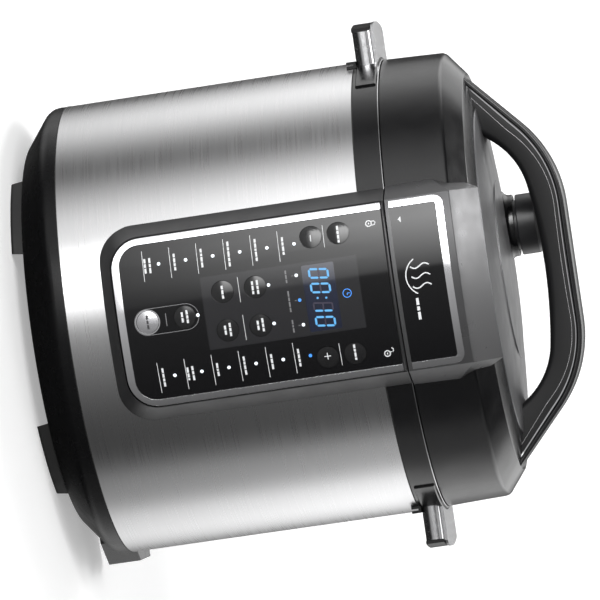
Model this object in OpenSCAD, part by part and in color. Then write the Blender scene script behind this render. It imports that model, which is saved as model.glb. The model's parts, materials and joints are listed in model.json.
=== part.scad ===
// Electric pressure cooker with a locking lid, an arched lid handle and a front control panel.
// Millimetres. +Z is up, the control panel faces -Y, and the origin is on the vertical axis of
// the body, in the plane that the feet stand on.

/* [Body] */
// Radius of the steel sleeve, the collar and the widest part of the base
body_r = 142; // [138:1:146]
// Radius of the underside of the base, inside its 45 degree chamfer
base_r = 121; // [119:1:123]
// Height of the rubber feet
foot_h = 7; // [6:0.5:8]
// Height at which the steel sleeve starts
sleeve_z0 = 33.3; // [33:0.1:34]
// Height at which the steel sleeve ends and the collar starts
sleeve_z1 = 218.3; // [216:0.1:220]
// Height of the top of the body
body_top = 234.8; // [234.8:0.1:235.2]
// Thickness of the plastic walls
wall = 2.6; // [2.2:0.1:3]
// Thickness of the pressed metal walls
sheet = 1.2; // [1:0.1:1.4]

/* [Inner pot] */
// Outer radius of the removable inner pot
pot_r = 112; // [110:1:113]
// Height of the underside of the inner pot
pot_z0 = 60; // [60:0.5:62]
// Height of the rim of the inner pot
pot_top = 224; // [223:0.5:224]

/* [Lid] */
// Gap between the body and the lid
seam_gap = 0.6; // [0.5:0.1:0.8]
// Radius of the lid wall at the seam
lid_r = 141.3; // [140:0.1:142]
// Height at which the lid wall turns into its chamfer
lid_wall_top = 271.9; // [270:0.1:273]
// Radius of the upper edge of the lid chamfer
lid_edge_r = 126; // [125:0.5:127]
// Height of the upper edge of the lid chamfer
lid_edge_z = 284.3; // [284:0.1:285]
// Height of the middle of the dome
dome_top = 294; // [293.5:0.1:294.5]
// Radius of the dome
dome_r = 103.7; // [102:0.1:104]

/* [Lid lock] */
// Number of locking lugs on the lid and on the outer pot
lug_count = 8; // [6:1:8]
// Angle that one lug covers
lug_angle = 20; // [16:1:20]

/* [Lid handle] */
// Height of the top of the lid handle, which is the height of the cooker
handle_top = 334; // [332:1:336]
// Depth of the lid handle from front to back
handle_depth = 36; // [32:1:38]
// Slope of the two legs of the lid handle
handle_slope = 42.5; // [40:0.5:45]
// Radius of the outer bend of the lid handle
handle_bend_r = 79; // [75:1:82]
// Thickness of the separate cap on top of the lid handle
handle_cap_t = 3; // [2.5:0.5:4]

/* [Side handles] */
// Distance from the axis to the outer end of a side handle
side_reach = 166; // [160:1:170]
// Depth of a side handle from front to back
side_depth = 66; // [60:1:70]
// Height of the top of the side handles
side_top = 233.2; // [232:0.1:233.8]
// Height of the underside of the side handles
side_bottom = 219.9; // [219:0.1:221]

/* [Control panel] */
// Radius of the curved front of the control panel and the lid plate
panel_r = 156; // [155:0.5:157]
// Half of the width of the panel block at its front edge
panel_half_w = 52; // [50:0.5:54]
// Half of the width of the panel block where it meets the body
panel_root_w = 60; // [58:0.5:62]
// Height of the lower edge of the panel block at its front
panel_z0 = 65.4; // [64:0.1:67]
// Width of the bright border
trim_w = 3.9; // [3.5:0.1:4.5]
// Radius of a push button
button_r = 6.6; // [6:0.1:6.8]
// Travel of a push button
button_travel = 0.8; // [0.6:0.1:0.8]

/* [Steam valve] */
// Distance of the steam valve to the left of the middle
valve_x = -27; // [-30:1:-25]
// Distance of the steam valve behind the middle
valve_y = 40; // [40:1:44]
// Radius of the steam valve knob
knob_r = 19.2; // [18:0.1:20]

/* [Hidden] */
$fn = 300;

black = [0.06, 0.06, 0.065];
dark = [0.13, 0.13, 0.14];
satin = [0.3, 0.3, 0.31];
steel = [0.72, 0.72, 0.73];
chrome = [0.85, 0.85, 0.87];
silicone = [0.85, 0.84, 0.8];

big = 400;

// Radii of the parts of the control panel, from the front inwards
frame_r = panel_r - 0.2;
face_r = panel_r - 0.4;
face_back_r = panel_r - 2.5;
glass_r = panel_r - 0.7;
board_front = body_r + 1.6;

// The sides of the panel block follow one straight line in plan
panel_edge_y = sqrt(frame_r * frame_r - panel_half_w * panel_half_w);
panel_root_y = sqrt(body_r * body_r - panel_root_w * panel_root_w);
panel_flare = (panel_root_w - panel_half_w) / (panel_edge_y - panel_root_y);
// Rise of the sloped lower edge of the panel block for each millimetre of radius
panel_undercut = 0.614;
panel_corner_r = 18.5;
trim_corner_r = 18;

// Border and plates, measured on the front of the panel
trim_half_w = panel_half_w - 1;
plate_half_w = trim_half_w - trim_w;
trim_z0 = panel_z0 + 1;
plate_z0 = trim_z0 + trim_w + 0.6;
panel_top = body_top - 2.4;
lid_bottom = body_top + seam_gap;
lid_plate_z0 = lid_bottom + 2.4;
lid_trim_top = 270.2;
block_front_z = 275;
block_back_z = 290.3;
block_back_r = 131;

// Levels inside the cooker
liner_r = 119.5;
liner_z0 = 44;
liner_top = 234;
lock_r = 126.3;
lug_inner_r = 121.5;
pan_r = 119;
pan_z = 232;
pan_roof_z = 242.6;
pan_wall_r = 103;
pan_t = 1.4;
plate_r = 98;
base_floor_z = foot_h + wall;
cover_t = 1.6;
screw_r = 1.6;

// Places of the buttons: distance from the middle, height
col_x = 36.6;
mid_x = 11.7;
cancel_z = 205.3;
minus_z = 188.6;
manual_z = 151.6;
level_z = 131.6;
keep_z = 106.9;
menu_z = 84.1;

// Places of the lights
lamp_x = 34;
lamp_z = [for (i = [0:5]) 178.3 - 16.6 * i];
level_lamp_x = 15;
level_lamp_z = 177.2;
timer_lamp_z = 159.8;
keep_lamp_z = 114.9;
lamp_r = 1;

// Display
display_half_w = 20.2;
display_z0 = 180.6;
display_z1 = 200.3;
digit_h = 12.4;
digit_w = 6.4;
digit_bar = 1.25;
digit_lean = 0.12;

// Power inlet, on the right at the back
inlet_x = 149.5;
inlet_y = 55;
inlet_half_w = 22;
inlet_z0 = 10;
inlet_z1 = 31;
inlet_in_x = 112;

// Float valve, on the dome beside the steam valve
float_x = 5;
float_y = 45;

// Condensate cup, at the back
cup_half_w = 30;
cup_z0 = 165;
cup_z1 = 205;
cup_y0 = body_r + 2.4;

function arc(cx, cy, r, a0, a1, n) =
    [for (i = [0:n]) let (a = a0 + (a1 - a0) * i / n) [cx + r * cos(a), cy + r * sin(a)]];

// Outline of the panel in front view: straight sides, square top, round lower corners
function panel_outline(w, z0, z1, r, n = 10) = concat(
    [[-w, z1]], arc(-w + r, z0 + r, r, 180, 270, n), arc(w - r, z0 + r, r, 270, 360, n), [[w, z1]]);

// Outline of the lid plate in front view: straight sides, square bottom, round upper corners
function lid_outline(w, z0, z1, r, n = 6) = concat(
    [[-w, z0], [w, z0]], arc(w - r, z1 - r, r, 0, 90, n), arc(-w + r, z1 - r, r, 90, 180, n));

// Half width of the panel block on a cylinder of radius r
function block_half_w(r) = let (
        m = panel_flare, b = panel_half_w + m * panel_edge_y,
        qa = 1 + m * m, qb = -2 * b * m, qc = b * b - r * r,
        y = (-qb + sqrt(qb * qb - 4 * qa * qc)) / (2 * qa)) b - m * y;

module ring(r0, r1, z0, z1) {
    translate([0, 0, z0])
        difference() {
            cylinder(r = r1, h = z1 - z0);
            translate([0, 0, -1]) cylinder(r = r0, h = z1 - z0 + 2);
        }
}

// Extrudes a front view outline from y = -100 forwards
module front_prism(points) {
    translate([0, -100, 0]) rotate([90, 0, 0]) linear_extrude(90) polygon(points);
}

// Turns children so that their +Z points out of the curved panel at the place x, z
module on_panel(x, z) {
    a = asin(x / panel_r);
    translate([0, 0, z]) rotate([0, 0, a]) rotate([90, 0, 0]) children();
}

// Plan of the panel block, from its front to well inside the body
module block_plan(z0, z1) {
    front_y = panel_r + 14;
    back_y = 95;
    front_w = panel_half_w - panel_flare * (front_y - panel_edge_y);
    back_w = panel_half_w + panel_flare * (panel_edge_y - back_y);
    translate([0, 0, z0]) linear_extrude(z1 - z0)
        polygon([[-front_w, -front_y], [front_w, -front_y], [back_w, -back_y], [-back_w, -back_y]]);
}

// ---- Base ----

function base_outer() = concat(
    arc(base_r - 2.5, foot_h + 6, 6, 270, 315, 6),
    arc(body_r - 9, sleeve_z0 - 5.25, 9, 315, 360, 6));

module base_solid() {
    rotate_extrude() polygon(concat([[0, foot_h]], base_outer(), [[body_r, sleeve_z0], [0, sleeve_z0]]));
}

module base_shell() {
    color(black) difference() {
        union() {
            difference() {
                base_solid();
                rotate_extrude() polygon([[0, base_floor_z], [base_r - 1.1, base_floor_z],
                    [body_r - wall, sleeve_z0 - 4.2], [body_r - wall, sleeve_z0 + 1], [0, sleeve_z0 + 1]]);
                translate([0, 0, foot_h - 1]) cylinder(r = 94, h = wall + 2);
            }
            // Ledge for the bottom cover
            ring(88, 97, foot_h + cover_t, foot_h + cover_t + wall);
            // Lip that centres the steel sleeve
            ring(body_r - wall, body_r - 0.7, sleeve_z0 - 3, sleeve_z0 + 6);
        }
        // Opening for the power inlet
        inlet_outline(inlet_z0, inlet_z1);
        foot_places() translate([0, 0, foot_h - 1]) cylinder(r = 3, h = wall + 2);
        cover_screw_places() translate([0, 0, foot_h - 1]) cylinder(r = screw_r, h = 8);
    }
}

module cover_screw_places() {
    for (i = [0:2]) rotate([0, 0, 90 + 120 * i]) translate([91, 0, 0]) children();
}

module foot_places() {
    for (a = [49, 131, 229, 311]) rotate([0, 0, a]) translate([108, 0, 0]) children();
}

module bottom_cover() {
    color(dark) {
        difference() {
            translate([0, 0, foot_h]) cylinder(r = 93.8, h = cover_t);
            for (i = [0:17]) rotate([0, 0, 20 * i + 10]) translate([36, -1.5, foot_h - 1]) cube([34, 3, 4]);
            cover_screw_places() translate([0, 0, foot_h - 1]) cylinder(r = screw_r, h = 4);
        }
        for (p = board_posts) translate([p[0], p[1], foot_h + cover_t])
            cylinder(r = 3, h = 8);
    }
}

board_posts = [[-80, -24], [-80, 24], [-22, -24], [-22, 24]];

module rubber_feet() {
    foot_in_x = 51.5;
    foot_out_x = 98.5;
    color(black) {
        difference() {
            intersection() {
                rotate_extrude() polygon([[99, 0], [118.6, 0], [120.2, 1.6], [120.2, 12], [99, 12]]);
                // The ends lean in by 2 mm towards the floor
                for (a = [0, 180], m = [0, 1]) rotate([0, 0, a]) mirror([m, 0, 0])
                    rotate([90, 0, 0]) linear_extrude(130) polygon([[foot_in_x + 2, -1],
                        [foot_out_x - 2, -1], [foot_out_x, 13], [foot_in_x, 13]]);
            }
            base_solid();
        }
        foot_places() translate([0, 0, foot_h - 0.5]) cylinder(r = 3, h = wall + 0.5);
    }
}

// Turns children so that their +Z points outwards, at distance x from the axis
module side_screw_places(x) {
    for (y = [-12, 12]) translate([x, y, 227.6]) rotate([0, 90, 0]) children();
}

module base_screws() {
    color(chrome) {
        cover_screw_places() {
            translate([0, 0, foot_h - 1.6]) cylinder(r = 2.8, h = 1.6);
            translate([0, 0, foot_h - 0.1]) cylinder(r = screw_r, h = cover_t + wall + 0.1);
        }
        // Two screws hold each side handle from inside the collar
        for (side = [0, 180]) rotate([0, 0, side]) side_screw_places(body_r - wall - 2.8) {
            cylinder(r = screw_r, h = 17);
            cylinder(r = 2.4, h = 2);
        }
    }
}

// ---- Sleeve and collar ----

module steel_sleeve() {
    wire_slot_w = 30;
    color(steel) difference() {
        ring(body_r - 0.6, body_r, sleeve_z0, sleeve_z1);
        translate([-wire_slot_w / 2, -body_r - 5, 120]) cube([wire_slot_w, 20, 50]);
    }
}

module collar_ring() {
    color(black) difference() {
        rotate_extrude() polygon([
            [body_r - wall, sleeve_z1 - 6.3], [body_r - 0.7, sleeve_z1 - 6.3], [body_r - 0.7, sleeve_z1],
            [body_r, sleeve_z1], [body_r, body_top], [131.3, body_top], [131.3, liner_top - sheet],
            [127.9, liner_top - sheet], [127.9, 230.2], [body_r - wall, 230.2]]);
        for (side = [0, 180]) rotate([0, 0, side]) side_screw_places(body_r - 8)
            cylinder(r = screw_r, h = 12);
    }
}

// ---- Pots and heater ----

module outer_pot() {
    color([0.62, 0.62, 0.64]) {
        rotate_extrude() polygon([
            [34, liner_z0], [liner_r + sheet, liner_z0], [liner_r + sheet, 226], [lock_r + sheet, 226],
            [lock_r + sheet, liner_top - sheet], [131, liner_top - sheet], [131, liner_top],
            [lock_r, liner_top], [lock_r, 226 + sheet], [liner_r, 226 + sheet],
            [liner_r, liner_z0 + sheet], [34, liner_z0 + sheet]]);
        for (i = [0:lug_count - 1]) rotate([0, 0, i * 360 / lug_count - lug_angle / 2])
            rotate_extrude(angle = lug_angle) polygon([
                [lug_inner_r, liner_top - 1.7], [lock_r + 0.2, liner_top - 1.7],
                [lock_r + 0.2, liner_top], [lug_inner_r, liner_top]]);
    }
}

module inner_pot() {
    corner = 9;
    color(steel) rotate_extrude() polygon(concat(
        [[0, pot_z0]], arc(pot_r - corner, pot_z0 + corner, corner, 270, 360, 6),
        [[pot_r, pot_top - sheet], [pot_r + 6.5, pot_top - sheet], [pot_r + 6.5, pot_top],
        [pot_r - sheet, pot_top]],
        arc(pot_r - corner, pot_z0 + 3 + corner - sheet, corner - sheet, 360, 270, 6), [[0, pot_z0 + 3]]));
}

module heating_plate() {
    color([0.6, 0.6, 0.6]) difference() {
        rotate_extrude() polygon([
            [14, 51], [40, 51], [43, 49], [52, 49], [55, 51], [66, 51], [69, 49], [78, 49], [81, 51],
            [plate_r - 2, 53], [plate_r, 55], [plate_r - 2, pot_z0], [14, pot_z0]]);
        for (i = [0:2]) rotate([0, 0, 120 * i + 30]) translate([60, 0, 40]) cylinder(r = 2, h = 16);
    }
}

module heater_posts() {
    color(satin) for (i = [0:2]) rotate([0, 0, 120 * i + 30]) translate([60, 0, 0]) {
        translate([0, 0, liner_z0 + sheet]) cylinder(r = 5, h = 51 - liner_z0 - sheet);
        translate([0, 0, 50.9]) cylinder(r = 2, h = 5.1);
    }
}

bracket_z = 38;

module sensor_bracket() {
    color(satin) difference() {
        union() {
            translate([-42, -9, bracket_z]) cube([84, 18, sheet]);
            for (s = [-1, 1]) translate([s * 41.4 - 0.6, -9, bracket_z])
                cube([sheet, 18, liner_z0 - bracket_z]);
            translate([0, 0, bracket_z]) cylinder(r = 9, h = sheet);
        }
        translate([0, 0, bracket_z - 1]) cylinder(r = 4.05, h = 4);
    }
}

module temperature_sensor() {
    color(chrome) {
        translate([0, 0, 30]) cylinder(r = 4, h = 28);
        translate([0, 0, 49]) cylinder(r = 11, h = 8.5);
        translate([0, 0, 57.5]) cylinder(r1 = 12.5, r2 = 11.7, h = pot_z0 - 0.3 - 57.5);
    }
}

// Helix as one closed tube: turns around the Z axis between two heights
module helix(r, wire, z0, z1, turns, steps = 16, sides = 6) {
    n = turns * steps;
    points = [for (i = [0:n], j = [0:sides - 1]) let (
        a = 360 * i / steps, b = 360 * j / sides, rr = r + wire * cos(b))
        [rr * cos(a), rr * sin(a), z0 + (z1 - z0) * i / n + wire * sin(b)]];
    faces = concat(
        [[for (j = [0:sides - 1]) j]],
        [for (i = [0:n - 1], j = [0:sides - 1]) let (k = (j + 1) % sides)
            [i * sides + j, (i + 1) * sides + j, (i + 1) * sides + k, i * sides + k]],
        [[for (j = [sides - 1:-1:0]) n * sides + j]]);
    polyhedron(points = points, faces = faces, convexity = 6);
}

module sensor_spring() {
    color(chrome) helix(7, 0.6, bracket_z + sheet + 0.65, 48.3, 4);
}

module thermal_fuse() {
    color([0.85, 0.82, 0.74]) {
        translate([40, -62, liner_z0 - 4]) rotate([0, 90, 0]) cylinder(r = 3.5, h = 24);
        translate([46, -66, liner_z0 - 5]) cube([12, 8, 5]);
    }
}

module pressure_switch() {
    color(dark) {
        translate([-14, 52, 30]) cube([28, 20, 10]);
        translate([0, 62, 39.9]) cylinder(r = 3, h = liner_z0 - 39.9);
    }
}

module power_board() {
    board_z = foot_h + cover_t + 8;
    color([0.1, 0.32, 0.18]) translate([-88, -30, board_z]) cube([72, 60, 1.6]);
    color(dark) {
        translate([-84, -18, board_z + 1.5]) cube([20, 16, 17]);
        translate([-84, 4, board_z + 1.5]) cube([20, 16, 15]);
        translate([-56, -20, board_z + 1.5]) cube([24, 22, 17]);
        translate([-50, 16, board_z + 1.5]) cylinder(r = 6, h = 16);
        translate([-34, 16, board_z + 1.5]) cylinder(r = 5, h = 13);
    }
}

// ---- Power inlet ----

module inlet_outline(z0, z1) {
    translate([0, 0, z0]) linear_extrude(z1 - z0) polygon([
        [inlet_in_x, inlet_y + inlet_half_w], [inlet_x, inlet_y + inlet_half_w],
        [inlet_x, inlet_y - inlet_half_w], [inlet_x - 15, inlet_y - inlet_half_w - 22],
        [inlet_in_x, inlet_y - inlet_half_w - 22]]);
}

module power_inlet() {
    color(black) difference() {
        inlet_outline(inlet_z0, inlet_z1);
        translate([inlet_x - 17, inlet_y - 12, 12.5]) cube([18, 24, 16]);
        for (y = [-7, 0, 7]) translate([inlet_in_x - 1, inlet_y + y, 20.5 + (y == 0 ? 3 : -1)])
            rotate([0, 90, 0]) cylinder(r = 1.6, h = 24);
    }
}

module inlet_pins() {
    color(chrome) for (y = [-7, 0, 7])
        translate([inlet_in_x - 8, inlet_y + y, 20.5 + (y == 0 ? 3 : -1)])
            rotate([0, 90, 0]) cylinder(r = 1.6, h = 39);
}

// ---- Control panel ----

// The part of a front view outline that lies between two radii
module curved_plate(points, r0, r1) {
    intersection() {
        ring(r0, r1, foot_h, 310);
        front_prism(points);
    }
}

// Closed outline in front view, with the bottom and the top divided so that they can bend
function frame_outline(w, z0, z1, r, n = 10, across = 10) = concat(
    [[-w, z1]], arc(-w + r, z0 + r, r, 180, 270, n),
    [for (i = [1:across - 1]) [(w - r) * (2 * i / across - 1), z0]],
    arc(w - r, z0 + r, r, 270, 360, n), [[w, z1]],
    [for (i = [1:across - 1]) [w * (1 - 2 * i / across), z1]]);

// Wraps a front view outline round a cylinder of radius r
function wrapped(points, r) = [for (p = points) [p[0], -sqrt(r * r - p[0] * p[0]), p[1]]];

// Outline of the outer walls of the panel block at radius r, wider and lower towards the body
function block_outline(r) = frame_outline(block_half_w(r), panel_z0 - (frame_r - r) * panel_undercut,
    body_top, panel_corner_r + (frame_r - r) * 0.2);

// A frame round the panel: six outlines joined in a loop give it its outer walls, its front rim,
// the pocket for the border and the face plate, and the ledge behind them
module control_frame() {
    back_r = body_r + 0.3;
    pocket = frame_outline(trim_half_w, trim_z0, panel_top, trim_corner_r);
    opening = frame_outline(46, plate_z0 + 2, panel_top - 2, 12);
    rings = [wrapped(block_outline(back_r), back_r), wrapped(block_outline(frame_r), frame_r),
        wrapped(pocket, frame_r), wrapped(pocket, face_back_r),
        wrapped(opening, face_back_r), wrapped(opening, back_r)];
    n = len(rings[0]);
    points = [for (points = rings, p = points) p];
    quads = [for (k = [0:5], i = [0:n - 1]) let (a = k * n, b = (k + 1) % 6 * n, j = (i + 1) % n)
        [a + i, a + j, b + j, b + i]];
    color(dark) polyhedron(points = points, faces = [for (q = quads, k = [1, 2]) [q[0], q[k], q[k + 1]]],
        convexity = 8);
}

module control_trim() {
    color(chrome) difference() {
        curved_plate(panel_outline(trim_half_w, trim_z0, panel_top, trim_corner_r), face_back_r, panel_r);
        front_prism(panel_outline(plate_half_w, plate_z0, panel_top + 1, 12.5));
    }
}

module control_faceplate() {
    color(black) difference() {
        curved_plate(panel_outline(plate_half_w, plate_z0, panel_top, 12.5), face_back_r, face_r);
        for (b = buttons) on_panel(b[0], b[1]) translate([0, 0, 140]) cylinder(r = button_r + 0.3, h = 30);
        curved_plate(display_outline(), glass_r - 1, panel_r + 2);
        lamp_holes();
    }
}

function display_outline() = concat(
    arc(-display_half_w + 1, display_z0 + 1, 1, 180, 270, 3),
    arc(display_half_w - 1, display_z0 + 1, 1, 270, 360, 3),
    arc(display_half_w - 1, display_z1 - 1, 1, 0, 90, 3),
    arc(-display_half_w + 1, display_z1 - 1, 1, 90, 180, 3));

module display_window() {
    color([0.03, 0.04, 0.09]) curved_plate(display_outline(), glass_r - 1, glass_r);
}

// One bar of a digit, pointed at both ends, with its middle at the origin
module digit_segment(length, upright) {
    h = length / 2 - 0.25;
    w = digit_bar / 2;
    points = [[-h, 0], [-h + w, -w], [h - w, -w], [h, 0], [h - w, w], [-h + w, w]];
    polygon([for (p = points) upright ? [p[1], p[0]] : p]);
}

// Segments run clockwise from the top, and the middle one is last
module digit(lit) {
    hw = digit_w / 2 - digit_bar / 2;
    hh = digit_h / 4 - digit_bar / 4;
    places = [[0, 2 * hh, 0], [hw, hh, 1], [hw, -hh, 1], [0, -2 * hh, 0], [-hw, -hh, 1],
        [-hw, hh, 1], [0, 0, 0]];
    for (i = [0:6]) if (lit[i] == 1)
        translate([places[i][0] + digit_lean * places[i][1], places[i][1]])
            multmatrix([[1, digit_lean, 0, 0], [0, 1, 0, 0], [0, 0, 1, 0]])
                digit_segment(places[i][2] == 1 ? 2 * hh : 2 * hw, places[i][2] == 1);
}

module display_digits() {
    zero = [1, 1, 1, 1, 1, 1, 0];
    one = [0, 1, 1, 0, 0, 0, 0];
    color([0.2, 0.55, 1]) intersection() {
        ring(glass_r, glass_r + 0.2, 150, 220);
        translate([0, -100, (display_z0 + display_z1) / 2 + 0.2]) rotate([90, 0, 0]) linear_extrude(80) {
            translate([-14.2, 0]) digit(zero);
            translate([-5.4, 0]) digit(zero);
            translate([5.8, 0]) digit(one);
            translate([14.8, 0]) digit(zero);
            for (s = [-1, 1]) translate([0.6 + 0.3 * s, 2.6 * s]) circle(r = 0.65, $fn = 24);
        }
    }
}

// Place of each light: distance from the middle, height
white_lamps = concat(
    [for (z = lamp_z) [-lamp_x, z]], [for (i = [1:5]) [lamp_x, lamp_z[i]]],
    [[-level_lamp_x, level_lamp_z], [level_lamp_x, level_lamp_z],
     [-mid_x, timer_lamp_z], [mid_x, timer_lamp_z], [0, keep_lamp_z]]);
blue_lamps = [[0, level_lamp_z], [lamp_x, lamp_z[0]]];

module lamps(places, r0, r1) {
    for (p = places) on_panel(p[0], p[1]) translate([0, 0, r0])
        cylinder(r = lamp_r, h = r1 - r0, $fn = 32);
}

module lamp_holes() {
    lamps(white_lamps, face_back_r - 2, panel_r + 2);
    lamps(blue_lamps, face_back_r - 2, panel_r + 2);
}

module leds_white() {
    color([0.95, 0.97, 1]) lamps(white_lamps, face_back_r, face_r + 0.1);
}

module leds_blue() {
    color([0.1, 0.5, 1]) lamps(blue_lamps, face_back_r, face_r + 0.1);
}

module control_board() {
    board_t = 1.6;
    color([0.08, 0.3, 0.16]) difference() {
        translate([-43, -board_front, plate_z0 + 8]) cube([86, board_t - 0.2, panel_top - plate_z0 - 14]);
        for (x = [-40, 40], z = [plate_z0 + 22, panel_top - 10])
            translate([x, -board_front - 2, z]) rotate([-90, 0, 0]) cylinder(r = 1.5, h = 6);
    }
    color(dark) {
        for (b = buttons) translate([b[0] - 3, -board_front - 1, b[1] - 3]) cube([6, 1.1, 6]);
        translate([-19, -glass_r + 5, 182]) cube([38, glass_r - board_front - 4.9, 17]);
    }
}

// ---- Push buttons ----

// Place of each button: distance from the middle, height
buttons = [[-col_x, cancel_z], [col_x, cancel_z], [-col_x, minus_z], [col_x, minus_z],
    [-mid_x, manual_z], [mid_x, manual_z], [-mid_x, level_z], [mid_x, level_z],
    [0, keep_z], [0, menu_z]];

// A button with a low dome, a flange behind the face plate and a stem that meets its switch
module push_button(i, shade) {
    x = buttons[i][0];
    // Twice the travel is left between the stem and the top of its switch
    stem_r = (board_front + 1 + 2 * button_travel) / cos(asin(x / panel_r));
    rim = face_r - 0.15;
    top = panel_r - 0.05;
    dome = (button_r * button_r + (top - rim) * (top - rim)) / (2 * (top - rim));
    sweep = asin(button_r / dome);
    color(shade) on_panel(x, buttons[i][1]) rotate_extrude() polygon(concat(
        [[0, stem_r], [2, stem_r], [2, face_back_r - 1.6], [button_r + 1, face_back_r - 1.6],
        [button_r + 1, face_back_r - 0.3], [button_r, face_back_r - 0.3]],
        [for (k = [0:5]) let (a = sweep * (1 - k / 5)) [dome * sin(a), top - dome + dome * cos(a)]]));
}

module button_cancel() { push_button(0, black); }
module button_start() { push_button(1, black); }
module button_minus() { push_button(2, black); }
module button_plus() { push_button(3, black); }
module button_manual() { push_button(4, black); }
module button_delay() { push_button(5, black); }
module button_level() { push_button(6, black); }
module button_cook_time() { push_button(7, black); }
module button_keep_warm() { push_button(8, black); }
module button_menu() { push_button(9, chrome); }

// ---- Side handles ----

side_in = 136.6;
rail_r = 5.7;
rail_z = side_bottom + rail_r;
// Middle of each rail, which stands forward of the top plate
rail_y = 32.3;
rail_front = rail_y + rail_r;
rib_t = 1.8;
core_y = rail_y - rib_t;
cap_z = side_top - 1.5;
end_plate_t = 2.1;
pad_t = 1.2;

module both_sides() {
    children();
    mirror([1, 0, 0]) children();
}

module side_handle_cores() {
    pad_half_angle = 29;
    hook_z = 213.9;
    end_r = side_reach - 0.3;
    color(black) both_sides() difference() {
        union() {
            // Pad that wraps the collar
            rotate([0, 0, -pad_half_angle]) rotate_extrude(angle = 2 * pad_half_angle)
                polygon([[body_r - 1, 220.4], [body_r + pad_t - 0.6, 220.4], [body_r + pad_t, 221],
                    [body_r + pad_t, side_top - 0.6], [body_r + pad_t - 0.6, side_top],
                    [body_r - 1, side_top]]);
            // End plate, curved like the body
            intersection() {
                difference() {
                    rotate([0, 0, 90]) cylinder(r = end_r, h = big);
                    rotate([0, 0, 90]) translate([0, 0, -1]) cylinder(r = end_r - end_plate_t, h = big + 2);
                }
                translate([side_in, 1 - rail_front, side_bottom])
                    cube([40, 2 * rail_front - 2, cap_z - 0.6 - side_bottom]);
            }
            // Core between the rails
            intersection() {
                rotate([0, 0, 90]) cylinder(r = end_r - 0.1, h = big);
                translate([side_in, -core_y, side_bottom]) cube([40, 2 * core_y, cap_z - 0.6 - side_bottom]);
            }
            // Hooks under the front rail, on a short bar from the core
            translate([137.2, -rail_front + 0.5, side_bottom - 1.7]) cube([4.4, 8, 1.6]);
            translate([137.2, -rail_y + 0.2, side_bottom - 1.7]) cube([4.4, 2.3, 3]);
            for (x = [137.2, 139.9]) translate([x, -rail_front + 0.5, hook_z])
                cube([1.7, 3.6, side_bottom - 0.5 - hook_z]);
        }
        rotate([0, 0, 90]) cylinder(r = body_r, h = big);
        side_screw_places(body_r - 8) cylinder(r = screw_r, h = 19.6);
    }
}

module side_handle_caps() {
    x0 = side_in + 0.2;
    length = side_reach - x0;
    corner_y = side_depth / 2;
    corner_x = sqrt(side_reach * side_reach - corner_y * corner_y);
    sweep = asin((corner_y - 1.6) / side_reach);
    color(chrome) both_sides() difference() {
        union() {
            intersection() {
                rotate([0, 0, 90]) cylinder(r = side_reach - 0.3 - end_plate_t, h = big);
                union() {
                    // Half-round rails along the front and the back
                    for (s = [-1, 1]) intersection() {
                        translate([x0, s * rail_y, rail_z]) rotate([0, 90, 0])
                            cylinder(r = rail_r, h = length);
                        translate([x0 - 1, s > 0 ? rail_y : -rail_front - 1, side_bottom - 1])
                            cube([length + 2, rail_r + 1, 2 * rail_r + 2]);
                    }
                    // Ribs between the rails and the top plate
                    for (s = [-1, 1]) translate([x0, s * (rail_y - rib_t / 2) - rib_t / 2, rail_z + 3])
                        cube([length, rib_t, cap_z - rail_z - 2.9]);
                }
            }
            // Top plate, its outer end curved like the body
            translate([0, 0, cap_z]) linear_extrude(side_top - cap_z) polygon(concat(
                [[x0, corner_y], [x0, -corner_y], [corner_x - 2, -corner_y]],
                [for (k = [-6:6]) side_reach * [cos(sweep * k / 6), sin(sweep * k / 6)]],
                [[corner_x - 2, corner_y]]));
        }
        rotate([0, 0, 90]) cylinder(r = body_r + pad_t, h = big);
    }
}

// ---- Condensate cup ----

module cup_bracket() {
    arm_x = cup_half_w + 4.4;
    color(dark) {
        // Back plate that follows the sleeve
        intersection() {
            ring(body_r, cup_y0 - 0.4, cup_z0 + 4, cup_z1 + 6);
            translate([-arm_x, 100, cup_z0]) cube([2 * arm_x, 60, 60]);
        }
        difference() {
            union() {
                // Hood and two rails
                translate([-arm_x, 130, cup_z1 + 0.5]) cube([2 * arm_x, 22, 3]);
                for (s = [-1, 1]) translate([s * (arm_x - 1) - 1, 130, cup_z1 - 12]) cube([2, 20, 14]);
                for (s = [-1, 1]) translate([s * (arm_x - 1.8) - 1.8, 130, cup_z1 - 12]) cube([3.6, 20, 2]);
            }
            cylinder(r = body_r, h = big);
            // Drip hole in the hood
            translate([0, 148, cup_z1 - 2]) cylinder(r = 2, h = 8);
        }
    }
}

module cup_body(half_w, y0, y1, z0, z1, r) {
    translate([0, 0, z0]) linear_extrude(z1 - z0) polygon(concat(
        [[-half_w, y0], [half_w, y0]],
        arc(half_w - r, y1 - r, r, 0, 90, 6), arc(-half_w + r, y1 - r, r, 90, 180, 6)));
}

module condensate_cup() {
    t = 1.5;
    color([0.75, 0.77, 0.8, 0.5]) {
        difference() {
            cup_body(cup_half_w, cup_y0, panel_r, cup_z0, cup_z1, 6);
            cup_body(cup_half_w - t, cup_y0 + t, panel_r - t, cup_z0 + t, cup_z1 + 1, 5);
        }
        // Flanges that run in the rails
        for (s = [-1, 1]) translate([s * (cup_half_w + 0.6) - 0.7, cup_y0, cup_z1 - 9.6])
            cube([1.4, 5, 9]);
        for (s = [-1, 1]) translate([s * (cup_half_w + 1.05) - 1.05, cup_y0, cup_z1 - 9.6])
            cube([2.1, 5, 1.6]);
    }
}

// ---- Sealing ring and lid underside ----

module sealing_ring() {
    color(silicone) rotate_extrude() polygon([
        [104, pot_top + 0.3], [113, pot_top + 0.3], [117.2, pot_top + 1.5], [117.2, pan_z - 0.3],
        [104, pan_z - 0.3], [104, 230.1], [109, 230.1], [109, 226.5], [104, 226.5]]);
}

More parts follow.
